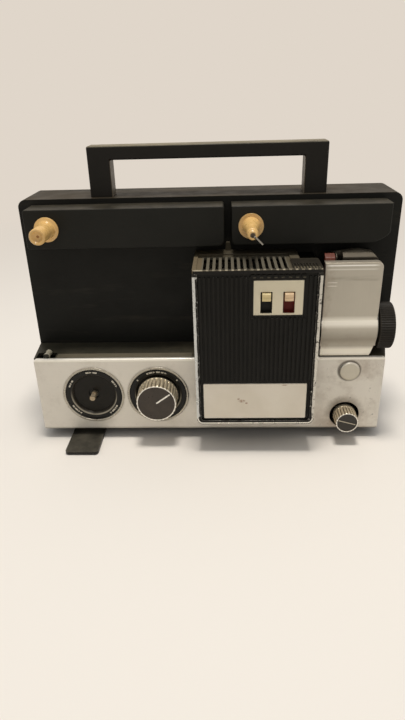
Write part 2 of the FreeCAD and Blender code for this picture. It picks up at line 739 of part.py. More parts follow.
def body_shell():
    outer = plate_y(body_outline(0), body_corners(0), WALL_Y, JOIN_Y)
    inner = plate_y(body_outline(WALL), body_corners(WALL), WALL_INNER_Y, JOIN_Y + 1)
    foot_opening = box(INNER_LEFT, INNER_RIGHT, WALL_Y - 1, JOIN_Y + 1, -1, LEDGE_UNDER)
    window = box(WINDOW_LEFT, WINDOW_RIGHT, WALL_Y - 1, WALL_INNER_Y + 1, WINDOW_BOTTOM, WINDOW_TOP)
    shutter_slot = box(SHUTTER_X - SHUTTER_SLOT, SHUTTER_X + SHUTTER_SLOT, WALL_Y - 1, WALL_INNER_Y + 1,
                       LENS_Z - SHUTTER_RADIUS - 1, LENS_Z + SHUTTER_RADIUS + 1)
    spindle_hole = rod_y(TAKEUP_X, SPINDLE_Z, TAKEUP_SHAFT_RADIUS + 1, WALL_Y - 1, WALL_INNER_Y + 1)
    pin_hole = rod_y(ARM_PIVOT_X, SPINDLE_Z, ARM_PIN_RADIUS + FIT_GAP, WALL_Y - 1, WALL_INNER_Y + 1)
    shell = cut(outer, [inner, foot_opening, window, shutter_slot, spindle_hole, pin_hole])
    bosses = []
    threads = []
    for x, z in BOSS_PLACES:
        bosses.append(rod_y(x, z, BOSS_RADIUS, JOIN_Y - BOSS_LENGTH, JOIN_Y))
        threads.append(rod_y(x, z, SCREW_RADIUS + RUN_GAP, JOIN_Y - BOSS_LENGTH - 1, JOIN_Y + 1))
    return cut(join(shell, bosses), threads)


def rear_cover():
    outer = plate_y(body_outline(0), body_corners(0), JOIN_Y, REAR_Y)
    outer = soften_at_y(outer, REAR_Y, BODY_EDGE)
    inner = plate_y(body_outline(WALL), body_corners(WALL), JOIN_Y - 1, REAR_Y - WALL)
    openings = [inner, box(INNER_LEFT, INNER_RIGHT, JOIN_Y - 1, REAR_Y - WALL, -1, WALL)]
    for centre in (LOUVRE_CENTRE - LOUVRE_SPACING / 2, LOUVRE_CENTRE + LOUVRE_SPACING / 2):
        for i in range(LOUVRE_COUNT):
            z = LOUVRE_BOTTOM + i * LOUVRE_PITCH
            openings.append(box(centre - LOUVRE_LENGTH / 2, centre + LOUVRE_LENGTH / 2, REAR_Y - WALL - 1,
                                REAR_Y + 1, z, z + LOUVRE_HEIGHT))
    openings.append(box(INLET_X - INLET_WIDTH / 2 - FIT_GAP, INLET_X + INLET_WIDTH / 2 + FIT_GAP,
                        REAR_Y - WALL - 1, REAR_Y + 1, INLET_Z - INLET_HEIGHT / 2 - FIT_GAP,
                        INLET_Z + INLET_HEIGHT / 2 + FIT_GAP))
    posts = []
    for x, z in BOSS_PLACES:
        posts.append(rod_y(x, z, BOSS_RADIUS, JOIN_Y, REAR_Y - WALL))
        openings.append(rod_y(x, z, SCREW_RADIUS + FIT_GAP, JOIN_Y - 1, REAR_Y + 1))
        openings.append(rod_y(x, z, SCREW_HEAD + FIT_GAP, SCREW_SEAT_Y, REAR_Y + 1))
    shell = cut(outer, openings[:1])
    return cut(join(shell, posts), openings[1:])


def case_screws():
    screws = []
    for x, z in BOSS_PLACES:
        shank = rod_y(x, z, SCREW_RADIUS, SCREW_SEAT_Y - SCREW_LENGTH, SCREW_SEAT_Y)
        head = rod_y(x, z, SCREW_HEAD, SCREW_SEAT_Y, SCREW_SEAT_Y + SCREW_HEAD_HEIGHT)
        screws.append(join(head, [shank]))
    return Part.makeCompound(screws)


def base_plate():
    plate = plate_z(inner_plan(SEAT_GAP), 0, 0, FLOOR_THICK)
    lug = panel_y(FRAMING_X - LUG_WIDTH / 2, FRAMING_X + LUG_WIDTH / 2, FLOOR_THICK,
                  FRAMING_Z + LUG_WIDTH / 2,
                  [0, 0, LUG_WIDTH / 3, LUG_WIDTH / 3], LUG_FRONT, LUG_FRONT + LUG_THICK)
    spacer = rod_z(STAB_X, STAB_PIVOT_Y, STAB_SPACER, STAB_TOP + SLIDE_GAP, 0)
    stud = rod_z(STAB_X, STAB_PIVOT_Y, STAB_PIN_RADIUS, FLOOR_Z + STAB_LIFT - SLIDE_GAP, STAB_TOP + SLIDE_GAP)
    rivet = rod_z(STAB_X, STAB_PIVOT_Y, STAB_SPACER, FLOOR_Z + SLIDE_GAP, FLOOR_Z + STAB_LIFT - SLIDE_GAP)
    plate = join(plate, [lug, spacer, stud, rivet])
    bearing = rod_y(FRAMING_X, FRAMING_Z, FRAMING_SHAFT_RADIUS + RUN_GAP, LUG_FRONT - 1,
                    LUG_FRONT + LUG_THICK + 1)
    vents = []
    for i in range(FLOOR_VENT_COUNT):
        x = FLOOR_VENT_LEFT + i * FLOOR_VENT_PITCH
        vents.append(box(x, x + FLOOR_VENT_WIDTH, JOIN_Y - FLOOR_VENT_LENGTH / 2,
                         JOIN_Y + FLOOR_VENT_LENGTH / 2,
                         -1, FLOOR_THICK + 1))
    return cut(plate, [bearing] + vents)


def feet():
    pads = []
    for x in (-FOOT_SIDE, FOOT_SIDE):
        for y in (FOOT_FRONT, FOOT_REAR):
            pads.append(Part.makeCone(FOOT_RADIUS - 1.2, FOOT_RADIUS, FOOT_HEIGHT, Vector(x, y, FLOOR_Z)))
    return Part.makeCompound(pads)


def stabiliser():
    left = STAB_X - STAB_WIDTH / 2
    right = STAB_X + STAB_WIDTH / 2
    rear = STAB_PIVOT_Y + STAB_WIDTH / 2
    low = FLOOR_Z + STAB_LIFT
    corners = [(left, STAB_TIP_Y), (right, STAB_TIP_Y), (right, rear), (left, rear)]
    arm = plate_z(corners, [3, 3, STAB_WIDTH / 3, STAB_WIDTH / 3], low, STAB_TOP)
    lip = box(left + 3, right - 3, STAB_TIP_Y + 1, STAB_TIP_Y + STAB_LIP, FLOOR_Z + SLIDE_GAP, low)
    hole = rod_z(STAB_X, STAB_PIVOT_Y, STAB_PIN_RADIUS + RUN_GAP, low - 1, STAB_TOP + 1)
    return cut(join(arm, [lip]), [hole])


def takeup_housing():
    outer = panel_y(TAKEUP_BAR_LEFT, TAKEUP_BAR_RIGHT, TAKEUP_BAR_BOTTOM, BAR_TOP, [2, 5, 2, 2], BAR_FRONT,
                    WALL_Y)
    outer = soften_at_y(outer, BAR_FRONT, BAR_EDGE)
    inner = panel_y(TAKEUP_BAR_LEFT + BAR_WALL, TAKEUP_BAR_RIGHT - BAR_WALL, TAKEUP_BAR_BOTTOM + BAR_WALL,
                    BAR_TOP - BAR_WALL, 2, BAR_FRONT + BAR_WALL, WALL_Y + 1)
    boss = rod_y(TAKEUP_X, SPINDLE_Z, TAKEUP_SHAFT_RADIUS + 3, BAR_FRONT + BAR_WALL, WALL_Y)
    bore = rod_y(TAKEUP_X, SPINDLE_Z, TAKEUP_SHAFT_RADIUS + RUN_GAP, BAR_FRONT - 1, WALL_Y + 1)
    return cut(join(cut(outer, [inner]), [boss]), [bore])


def pulley_y(x, z, radius, middle):
    half = PULLEY_WIDTH / 2
    waist = radius - PULLEY_GROOVE
    floor = BELT_WIDTH / 2 + RUN_GAP
    return turned_y(x, z, [(0, middle - half), (radius, middle - half), (radius, middle - floor),
                           (waist, middle - floor), (waist, middle + floor), (radius, middle + floor),
                           (radius, middle + half), (0, middle + half)])


def pulley_x(y, z, radius, middle):
    half = PULLEY_WIDTH / 2
    waist = radius - PULLEY_GROOVE
    floor = BELT_WIDTH / 2 + RUN_GAP
    return turned_x(y, z, [(0, middle - half), (radius, middle - half), (radius, middle - floor),
                           (waist, middle - floor), (waist, middle + floor), (radius, middle + floor),
                           (radius, middle + half), (0, middle + half)])


def arm_wire(inset, y):
    left = ARM_LEFT + inset
    right = ARM_RIGHT - inset
    bottom = ARM_BOTTOM + inset
    top = BAR_TOP - inset
    curve = ARM_CURVE - inset
    centre_x = ARM_RIGHT - ARM_CURVE * 0.74
    swing = math.asin((right - centre_x) / curve)
    end_z = bottom + curve - curve * math.cos(swing)
    mid_x = centre_x + curve * math.sin(swing / 2)
    mid_z = bottom + curve - curve * math.cos(swing / 2)
    corner = ARM_CORNER
    slant = corner * (1 - math.sqrt(0.5))
    start = Vector(left + corner, y, bottom)
    return Part.Wire([
        Part.makeLine(start, Vector(centre_x, y, bottom)),
        Part.Arc(Vector(centre_x, y, bottom), Vector(mid_x, y, mid_z), Vector(right, y, end_z)).toShape(),
        Part.makeLine(Vector(right, y, end_z), Vector(right, y, top)),
        Part.makeLine(Vector(right, y, top), Vector(left, y, top)),
        Part.makeLine(Vector(left, y, top), Vector(left, y, bottom + corner)),
        Part.Arc(Vector(left, y, bottom + corner), Vector(left + slant, y, bottom + slant), start).toShape(),
    ])


def arm_solid(inset, y0, y1):
    return Part.Face(arm_wire(inset, y0)).extrude(Vector(0, y1 - y0, 0))


def feed_arm():
    outer = soften_at_y(arm_solid(0, BAR_FRONT, ARM_REAR), BAR_FRONT, BAR_EDGE)
    inner = arm_solid(BAR_WALL, BAR_FRONT + BAR_WALL, ARM_REAR + 1)
    bore = rod_y(FEED_X, SPINDLE_Z, FEED_SHAFT_RADIUS + RUN_GAP, BAR_FRONT - 1, BAR_FRONT + BAR_WALL + 1)
    return cut(outer, [inner, bore])


def arm_back():
    plate = arm_solid(BAR_WALL + SLIDE_GAP, ARM_REAR - ARM_BACK_THICK, ARM_REAR)
    boss_front = ARM_BELT_Y + PULLEY_WIDTH / 2 + ARM_BOSS_GAP
    pivot_boss = rod_y(ARM_PIVOT_X, SPINDLE_Z, PIVOT_BOSS_RADIUS, boss_front, ARM_REAR)
    feed_boss = rod_y(FEED_X, SPINDLE_Z, FEED_SHAFT_RADIUS + FEED_BOSS_WALL, boss_front, ARM_REAR)
    plate = join(plate, [pivot_boss, feed_boss])
    pivot_bore = rod_y(ARM_PIVOT_X, SPINDLE_Z, ARM_PIN_RADIUS + RUN_GAP, boss_front - 1, ARM_REAR + 1)
    feed_bore = rod_y(FEED_X, SPINDLE_Z, FEED_SHAFT_RADIUS + RUN_GAP, boss_front - 1,
                      ARM_REAR - ARM_BACK_THICK)
    return cut(plate, [pivot_bore, feed_bore])


def arm_pin():
    front = ARM_BELT_Y + PULLEY_WIDTH / 2 + ARM_BOSS_GAP
    rear = WALL_INNER_Y + ARM_PIN_END
    pin = rod_y(ARM_PIVOT_X, SPINDLE_Z, ARM_PIN_RADIUS, front, rear)
    corners = []
    for angle in range(0, 361, 60):
        corners.append(Vector(ARM_PIVOT_X + PIVOT_NUT * math.cos(math.radians(angle)), WALL_INNER_Y,
                              SPINDLE_Z + PIVOT_NUT * math.sin(math.radians(angle))))
    nut = Part.Face(Part.makePolygon(corners)).extrude(Vector(0, PIVOT_NUT_THICK, 0))
    bore = rod_y(ARM_PIVOT_X, SPINDLE_Z, FEED_SHAFT_RADIUS + RUN_GAP, front - 1, rear + 1)
    return cut(join(pin, [nut]), [bore])


def arm_pulley():
    # Rewind drive that reaches the arm through its hollow pivot
    front = pulley_y(ARM_PIVOT_X, SPINDLE_Z, ARM_PULLEY, ARM_BELT_Y)
    wheel_front = WALL_INNER_Y + ARM_PIN_END + REWIND_GAP
    rear_y = wheel_front + REWIND_WHEEL_THICK
    shaft = rod_y(ARM_PIVOT_X, SPINDLE_Z, FEED_SHAFT_RADIUS, ARM_BELT_Y, rear_y)
    wheel = rod_y(ARM_PIVOT_X, SPINDLE_Z, ARM_PULLEY - REWIND_WHEEL_STEP, wheel_front, rear_y)
    return join(front, [shaft, wheel])


def arm_belt():
    return belt((FEED_X, SPINDLE_Z), FEED_PULLEY, (ARM_PIVOT_X, SPINDLE_Z), ARM_PULLEY,
                lambda x, z: Vector(x, ARM_BELT_Y - BELT_WIDTH / 2, z), Vector(0, BELT_WIDTH, 0))


def clip_frame(shape):
    # From a place where the wire runs along X out of the clip's pivot to its place in the spindle's nose
    shape.rotate(Vector(0, 0, 0), Vector(0, 1, 0), CLIP_LEAN)
    lean = math.radians(CLIP_LEAN)
    shape.translate(Vector(FEED_X + CLIP_OFFSET * math.cos(lean), CLIP_Y,
                           SPINDLE_Z - CLIP_OFFSET * math.sin(lean)))
    return shape


def feed_spindle():
    # Slim spindle with a slotted nose, in which the reel clip turns
    nose = FEED_TIP_Y + FEED_NOSE
    flange = BAR_FRONT - SEAT_GAP - FLANGE_THICK
    shaft_end = ARM_REAR - ARM_BACK_THICK - SEAT_GAP
    body = turned_y(FEED_X, SPINDLE_Z, [
        (0, FEED_TIP_Y + 1.5), (1.3, FEED_TIP_Y + 1.5), (1.6, FEED_TIP_Y),
        (FEED_NOSE_RADIUS - 0.9, FEED_TIP_Y),
        (FEED_NOSE_RADIUS - 0.3, FEED_TIP_Y + 0.7), (FEED_NOSE_RADIUS, nose - 0.4), (FEED_RADIUS, nose),
        (FEED_RADIUS, FEED_TIP_Y + FEED_STRAIGHT), (FEED_RADIUS + 2.6, flange), (FLANGE_RADIUS, flange),
        (FLANGE_RADIUS, BAR_FRONT - SEAT_GAP), (FEED_SHAFT_RADIUS, BAR_FRONT - SEAT_GAP),
        (FEED_SHAFT_RADIUS, shaft_end), (0, shaft_end)])
    body = join(body, [pulley_y(FEED_X, SPINDLE_Z, FEED_PULLEY, ARM_BELT_Y)])
    eye_room = CLIP_EYE_RADIUS + SLIDE_GAP * 2
    half = CLIP_SLOT / 2
    slot = clip_frame(box(-eye_room, FEED_RADIUS, -CLIP_INSET - 1, eye_room, -half, half))
    pin_hole = clip_frame(rod_z(0, 0, CLIP_PIN_RADIUS + RUN_GAP, -FEED_RADIUS, FEED_RADIUS))
    return cut(body, [slot, pin_hole])


def reel_clip():
    # A wire clip that turns on a cross pin: it hangs out to hold the reel and folds forward to let it pass
    thick = CLIP_SLOT / 2 - SLIDE_GAP
    eye = rod_z(0, 0, CLIP_EYE_RADIUS, -thick, thick)
    pin = rod_z(0, 0, CLIP_PIN_RADIUS, -FEED_NOSE_RADIUS / 2, FEED_NOSE_RADIUS / 2)
    wire = rod_x(0, 0, CLIP_WIRE_RADIUS, 0, CLIP_LENGTH)
    return clip_frame(join(wire, [eye, pin]))


def takeup_spindle():
    tip = BAR_FRONT - TAKEUP_REACH
    flange = BAR_FRONT - SEAT_GAP - FLANGE_THICK
    half = PULLEY_WIDTH / 2
    disc = TAKEUP_BELT_Y - half - FIT_GAP
    end = TAKEUP_BELT_Y + half + FIT_GAP
    return turned_y(TAKEUP_X, SPINDLE_Z, [
        (0, tip + 4), (3.4, tip + 4), (3.4, tip), (TAKEUP_RADIUS - 0.8, tip), (TAKEUP_RADIUS, tip + 0.8),
        (TAKEUP_RADIUS, flange), (FLANGE_RADIUS, flange), (FLANGE_RADIUS, BAR_FRONT - SEAT_GAP),
        (TAKEUP_SHAFT_RADIUS, BAR_FRONT - SEAT_GAP), (TAKEUP_SHAFT_RADIUS, disc - 2), (9, disc - 2),
        (9, disc), (TAKEUP_SHAFT_RADIUS, disc), (TAKEUP_SHAFT_RADIUS, end), (6, end), (6, end + TAKEUP_END),
        (0, end + TAKEUP_END)])


def takeup_pulley():
    wheel = pulley_y(TAKEUP_X, SPINDLE_Z, TAKEUP_PULLEY, TAKEUP_BELT_Y)
    bore = rod_y(TAKEUP_X, SPINDLE_Z, TAKEUP_SHAFT_RADIUS + RUN_GAP, TAKEUP_BELT_Y - 5, TAKEUP_BELT_Y + 5)
    return cut(wheel, [bore])


def takeup_belt():
    return belt((SPROCKET_X, SPROCKET_Z), TAKEUP_DRIVE, (TAKEUP_X, SPINDLE_Z), TAKEUP_PULLEY,
                lambda x, z: Vector(x, TAKEUP_BELT_Y - BELT_WIDTH / 2, z), Vector(0, BELT_WIDTH, 0))


def carry_handle():
    left = HANDLE_X - HANDLE_SPAN / 2
    right = HANDLE_X + HANDLE_SPAN / 2
    top = BODY_TOP + HANDLE_RISE
    under = top - HANDLE_BAR
    round_out = HANDLE_OUTER_ROUND
    round_in = HANDLE_INNER_ROUND
    points = [(left, BODY_TOP), (left + HANDLE_POST, BODY_TOP), (left + HANDLE_POST, under),
              (right - HANDLE_POST, under), (right - HANDLE_POST, BODY_TOP), (right, BODY_TOP),
              (right, top), (left, top)]
    radii = [0, 0, round_in, round_in, 0, 0, round_out, round_out]
    handle = plate_y(points, radii, HANDLE_FRONT, HANDLE_FRONT + HANDLE_DEPTH)
    rim = [edge for edge in edges_at_y(handle, HANDLE_FRONT) + edges_at_y(handle, HANDLE_FRONT + HANDLE_DEPTH)
           if edge.BoundBox.ZMax > BODY_TOP + 1e-3]
    return handle.makeFillet(HANDLE_EDGE, rim)


def cover_frame():
    # Silver trim round three sides of the cover's face
    top = COVER_TOP
    outer = panel_y(COVER_LEFT, COVER_RIGHT, COVER_BOTTOM, top, [TRIM_CORNER, TRIM_CORNER, 0, 0], COVER_FRONT,
                    TRIM_BACK)
    inner = panel_y(COVER_LEFT + TRIM_WIDTH, COVER_RIGHT - TRIM_WIDTH, COVER_BOTTOM + TRIM_WIDTH, top + 1,
                    [TRIM_CORNER - 2, TRIM_CORNER - 2, 0, 0], COVER_FRONT - 1, TRIM_BACK + 1)
    return cut(outer, [inner])


def lamp_cover():
    # Black cover with a ribbed face, which fits round the trim and over the panel
    left = COVER_LEFT + TRIM_WIDTH + FIT_GAP
    right = COVER_RIGHT - TRIM_WIDTH - FIT_GAP
    bottom = COVER_BOTTOM + TRIM_WIDTH + FIT_GAP
    face = panel_y(left, right, bottom, COVER_TOP, [TRIM_CORNER - 2, TRIM_CORNER - 2, 0, 0], COVER_FACE,
                   TRIM_BACK + FIT_GAP)
    back = TRIM_BACK + FIT_GAP
    case = panel_y(COVER_LEFT, COVER_RIGHT, COVER_BOTTOM, COVER_TOP, [TRIM_CORNER, TRIM_CORNER, 0, 0], back,
                   WALL_Y)
    behind_panel = box(COVER_LEFT - 1, COVER_RIGHT + 1, 0, WALL_Y + 1, COVER_BOTTOM - 1, PANEL_HEIGHT)
    hollow = box(COVER_LEFT + COVER_WALL, COVER_RIGHT - COVER_WALL, back + COVER_WALL, WALL_Y + 1,
                 COVER_BOTTOM + COVER_WALL, COVER_TOP - COVER_WALL)
    front_hollow = box(left + COVER_WALL, right - COVER_WALL, COVER_INNER_FRONT, back + COVER_WALL + 1,
                       bottom + COVER_WALL, COVER_TOP - COVER_WALL)
    vent_hole = box(COVER_LEFT + 6, VENT_RIGHT - VENT_FIELD_INSET - 2, COVER_FRONT + VENT_SLOT_START - 1,
                    COVER_FRONT + VENT_SLOT_START + VENT_SLOT_LENGTH + 1, COVER_TOP - COVER_WALL - 1,
                    COVER_TOP + 1)
    shell = cut(join(case, [face]), [behind_panel, hollow, front_hollow, vent_hole])
    pitch = (right - left) / RIB_COUNT
    ribs = []
    for i in range(RIB_COUNT):
        x = left + pitch * (i + 0.5 - RIB_SHARE / 2)
        ribs.append(box(x, x + pitch * RIB_SHARE, COVER_FRONT, COVER_FACE + 0.5, bottom + 3.5,
                        COVER_TOP - 2.5))
    clear = [
        box(NAME_LEFT - PLATE_BORDER, NAME_RIGHT + PLATE_BORDER, COVER_FRONT - 1, COVER_FACE,
            NAME_BOTTOM - PLATE_BORDER, NAME_TOP + PLATE_BORDER),
        box(SWITCH_LEFT - PLATE_BORDER, SWITCH_RIGHT + PLATE_BORDER, COVER_FRONT - 1, COVER_FACE,
            SWITCH_BOTTOM - PLATE_BORDER, COVER_TOP),
    ]
    ribs = [cut(rib, clear) for rib in ribs]
    pocket = box(SWITCH_LEFT - FIT_GAP, SWITCH_RIGHT + FIT_GAP, COVER_FACE - 1,
                 COVER_FACE + PLATE_THICK + FIT_GAP,
                 SWITCH_BOTTOM - FIT_GAP, SWITCH_TOP + FIT_GAP)
    name_pocket = box(NAME_LEFT - FIT_GAP, NAME_RIGHT + FIT_GAP, COVER_FACE - 1, COVER_FACE + PLATE_THICK / 2,
                      NAME_BOTTOM - FIT_GAP, NAME_TOP + FIT_GAP)
    block = box(SWITCH_LEFT - 1, SWITCH_RIGHT + 1, COVER_INNER_FRONT - 1, COVER_INNER_FRONT + 4,
                SWITCH_BOTTOM - 1,
                SWITCH_TOP + 1)
    channels = []
    for x in (LAMP_SWITCH_X, MOTOR_SWITCH_X):
        channels.append(box(x - SWITCH_SLOT_WIDTH / 2, x + SWITCH_SLOT_WIDTH / 2, COVER_FACE - 1,
                            SWITCH_FLOOR,
                            SWITCH_SLOT_BOTTOM, SWITCH_SLOT_TOP))
    serrations = []
    serration_pitch = (SWITCH_RIGHT - SWITCH_LEFT + 2 * PLATE_BORDER) / SERRATION_COUNT
    for i in range(SERRATION_COUNT):
        x = SWITCH_LEFT - PLATE_BORDER + serration_pitch * i
        serrations.append(box(x, x + serration_pitch * 0.7, COVER_FRONT + 0.2, COVER_FACE + 0.5,
                              SWITCH_TOP + PLATE_BORDER, COVER_TOP - 1.0))
    shell = join(shell, ribs + serrations + [block])
    return cut(shell, [pocket, name_pocket] + channels)


def cover_vent():
    # Slotted top with a sunk field; its front strip runs on over the cover's right end
    back = WALL_Y
    top = COVER_TOP + VENT_RISE
    step = COVER_FRONT + VENT_STEP_DEPTH
    field_right = VENT_RIGHT - VENT_FIELD_INSET
    plate = plate_z([(COVER_LEFT, COVER_FRONT), (COVER_RIGHT, COVER_FRONT), (COVER_RIGHT, step),
                     (VENT_RIGHT, step),
                     (VENT_RIGHT, back), (COVER_LEFT, back)], [2, 2, 1.5, 1, 1, 0], COVER_TOP, top)
    tools = [box(COVER_LEFT + VENT_BORDER, field_right, COVER_FRONT + VENT_BORDER,
                 COVER_FRONT + VENT_BORDER + VENT_FIELD_DEPTH, top - VENT_SINK, top + 1)]
    slot_front = COVER_FRONT + VENT_SLOT_START
    for i in range(VENT_SLOT_COUNT):
        x = COVER_LEFT + VENT_FIRST_SLOT + i * VENT_PITCH - VENT_SLOT_WIDTH / 2
        tools.append(box(x, x + VENT_SLOT_WIDTH, slot_front, slot_front + VENT_SLOT_LENGTH, COVER_TOP - 1,
                         top))
    groove_pitch = (COVER_RIGHT - VENT_BORDER - field_right) / VENT_GROOVE_COUNT
    groove_front = COVER_FRONT + 2 * VENT_BORDER
    for i in range(VENT_GROOVE_COUNT):
        x = field_right + (i + 0.5) * groove_pitch
        tools.append(box(x, x + groove_pitch / 2, groove_front, groove_front + VENT_GROOVE_LENGTH,
                         top - VENT_SINK,
                         top + 1))
    half = VENT_TAB_WIDTH / 2
    tab = plate_y([(VENT_TAB_X - half, top - 1), (VENT_TAB_X + half, top - 1),
                   (VENT_TAB_X + half - 1, top + VENT_TAB_RISE), (VENT_TAB_X - half + 1,
                                                                  top + VENT_TAB_RISE)],
                  [0, 0, 0.8, 0.8], back - VENT_TAB_THICK - 0.5, back - 0.5)
    return join(cut(plate, tools), [tab])


def name_plate():
    return panel_y(NAME_LEFT, NAME_RIGHT, NAME_BOTTOM, NAME_TOP, 1.0,
                   COVER_FACE + PLATE_THICK / 2 - PLATE_THICK,
                   COVER_FACE + PLATE_THICK / 2)


def switch_plate():
    front = COVER_FACE + FIT_GAP
    plate = panel_y(SWITCH_LEFT, SWITCH_RIGHT, SWITCH_BOTTOM, SWITCH_TOP, 1.0, front, front + PLATE_THICK)
    slots = []
    for x in (LAMP_SWITCH_X, MOTOR_SWITCH_X):
        slots.append(box(x - SWITCH_SLOT_WIDTH / 2, x + SWITCH_SLOT_WIDTH / 2, front - 1,
                         front + PLATE_THICK + 1,
                         SWITCH_SLOT_BOTTOM, SWITCH_SLOT_TOP))
    return cut(plate, slots)


def switch_cap(x):
    half = SWITCH_SLOT_WIDTH / 2 - SWITCH_GAP
    top = SWITCH_SLOT_TOP - SWITCH_GAP
    front = COVER_FACE - SWITCH_CAP_PROUD
    low = top - SWITCH_CAP_HEIGHT
    side = [(front + 0.8, low), (SWITCH_FLOOR - SWITCH_GAP, low), (SWITCH_FLOOR - SWITCH_GAP, top),
            (front + 0.8, top),
            (front, top - 1.0), (front + 0.6, (low + top) / 2), (front, low + 1.0)]
    return plate_x(side, 0, x - half, x + half)


def lamp_house():
    # Folded sheet metal shield round the lamp, open at the top
    outer = box(LAMP_HOUSE_LEFT, LAMP_HOUSE_RIGHT, LAMP_HOUSE_FRONT, LAMP_HOUSE_BACK, PANEL_HEIGHT,
                LAMP_HOUSE_TOP)
    inner = box(LAMP_HOUSE_LEFT + SHEET, LAMP_HOUSE_RIGHT - SHEET, LAMP_HOUSE_FRONT + SHEET,
                LAMP_HOUSE_BACK - SHEET,
                PANEL_HEIGHT + SHEET, LAMP_HOUSE_TOP + 1)
    light_hole = rod_x(LENS_Y, LENS_Z, LIGHT_HOLE_RADIUS, LAMP_HOUSE_RIGHT - SHEET - 1, LAMP_HOUSE_RIGHT + 1)
    air_left = LAMP_HOUSE_LEFT + AIR_HOLE_INSET
    air_hole = box(air_left, air_left + AIR_HOLE_LENGTH, LAMP_HOUSE_BACK - SHEET - 1, LAMP_HOUSE_BACK + 1,
                   LENS_Z - AIR_HOLE_DROP, LENS_Z + AIR_HOLE_RISE)
    return cut(outer, [inner, light_hole, air_hole])


def lamp_socket():
    foot_low = PANEL_HEIGHT + SHEET
    low = LENS_Z - SOCKET_HALF + 1
    block = box(SOCKET_X, LAMP_BASE_X, LENS_Y - SOCKET_HALF, LENS_Y + SOCKET_HALF, low,
                LENS_Z + SOCKET_HALF - 1)
    half = SOCKET_HALF - 3
    stem = box(SOCKET_X, SOCKET_X + SOCKET_DEPTH / 2, LENS_Y - half, LENS_Y + half, foot_low, low)
    foot = box(SOCKET_X, SOCKET_X + 2.6 * SOCKET_DEPTH, LENS_Y - half, LENS_Y + half, foot_low,
               foot_low + 1.5)
    return join(block, [stem, foot])


def lamp():
    # Capsule lamp on its ceramic base
    neck_x = LAMP_BASE_X + LAMP_BASE_LENGTH
    base = rod_x(LENS_Y, LENS_Z, LAMP_BASE_RADIUS, LAMP_BASE_X, neck_x)
    capsule = rod_x(LENS_Y, LENS_Z, LAMP_RADIUS, neck_x, neck_x + LAMP_LENGTH)
    tip = Part.makeSphere(LAMP_RADIUS, Vector(neck_x + LAMP_LENGTH, LENS_Y, LENS_Z))
    return join(base, [capsule, tip])


def reflector():
    neck_x = LAMP_BASE_X + SEAT_GAP
    bore = LAMP_BASE_RADIUS + FIT_GAP
    rim_x = neck_x + REFLECTOR_DEPTH
    middle_x = neck_x + REFLECTOR_DEPTH / 2
    middle = REFLECTOR_RADIUS * 0.77
    return turned_x(LENS_Y, LENS_Z, [
        (bore, neck_x), (bore + SHEET, neck_x), (bore + 1.6, neck_x + 4), (middle, middle_x),
        (REFLECTOR_RADIUS, rim_x), (REFLECTOR_RADIUS - 1.1, rim_x), (middle - 1.1, middle_x + 0.7),
        (bore + 0.6, neck_x + 5.2), (bore, neck_x + 4)])


def film_gate():
    # Fixed film channel with the aperture, the hinge ears of the door and the guide of the loop lever
    block = box(GATE_LEFT, GATE_RIGHT, GATE_FRONT, GATE_BACK, GATE_BOTTOM, GATE_TOP)
    foot = box(GATE_LEFT + 0.6, GATE_LEFT + 3.6, GATE_BACK, WALL_Y, LENS_Z + 14, GATE_TOP)
    parts = [foot]
    for z in (EAR_LOW, EAR_HIGH):
        parts.append(rod_z(HINGE_X, HINGE_Y, EAR_RADIUS, z, z + EAR_HEIGHT))
        parts.append(box(HINGE_X, GATE_LEFT + 1, HINGE_Y - 1, HINGE_Y + EAR_RADIUS, z, z + EAR_HEIGHT))
    guide_y = STEM_Y + STEM_SIZE / 2
    parts.append(box(STEM_X - 1.6, GATE_LEFT + 1, guide_y - 3.2, guide_y + 3.2, STEM_GUIDE_Z,
                     STEM_GUIDE_Z + 4))
    rails = [box(MASK_LEFT - 0.4, GATE_LEFT + 1, MASK_FRONT - 2, MASK_FRONT - SLIDE_GAP, LENS_Z - 9,
                 LENS_Z + 9)]
    for z0, z1 in ((LENS_Z - MASK_HALF, LENS_Z - 6.5), (LENS_Z + 6.5, LENS_Z + MASK_HALF)):
        rails.append(box(MASK_LEFT - 0.4, GATE_LEFT + 1, MASK_BACK + SLIDE_GAP, MASK_BACK + 2, z0, z1))
    gate = join(block, parts + rails)
    channel = box(GATE_RIGHT - 0.6, GATE_RIGHT + 1, LENS_Y - FILM_HALF, LENS_Y + FILM_HALF, GATE_BOTTOM - 1,
                  GATE_TOP + 1)
    aperture = box(GATE_LEFT - 1, GATE_RIGHT + 1, LENS_Y - APERTURE_WIDTH / 2 - 0.4, LENS_Y + 3.1,
                   LENS_Z - APERTURE_HEIGHT / 2 - 1, LENS_Z + APERTURE_HEIGHT / 2 + 1)
    claw_slot = box(GATE_LEFT - 1, GATE_RIGHT + 1, CLAW_Y - 1.2, CLAW_Y + 1.2, LENS_Z - 5, LENS_Z + 5)
    stem_hole = box(STEM_X - SLIDE_GAP, STEM_X + STEM_SIZE + SLIDE_GAP, STEM_Y - SLIDE_GAP,
                    STEM_Y + STEM_SIZE + SLIDE_GAP, STEM_GUIDE_Z - 1, STEM_GUIDE_Z + 5)
    pin_bore = rod_z(HINGE_X, HINGE_Y, HINGE_PIN_RADIUS + RUN_GAP, GATE_BOTTOM, GATE_TOP)
    return cut(gate, [channel, aperture, claw_slot, stem_hole, pin_bore])


def aperture_mask():
    plate = box(MASK_LEFT, MASK_LEFT + MASK_THICK, MASK_FRONT, MASK_BACK, LENS_Z - MASK_HALF,
                LENS_Z + MASK_HALF)
    hole = box(MASK_LEFT - 1, MASK_LEFT + 2, LENS_Y - APERTURE_WIDTH / 2, LENS_Y + APERTURE_WIDTH / 2 - 0.5,
               LENS_Z - APERTURE_HEIGHT / 2, LENS_Z + APERTURE_HEIGHT / 2)
    return cut(plate, [hole])


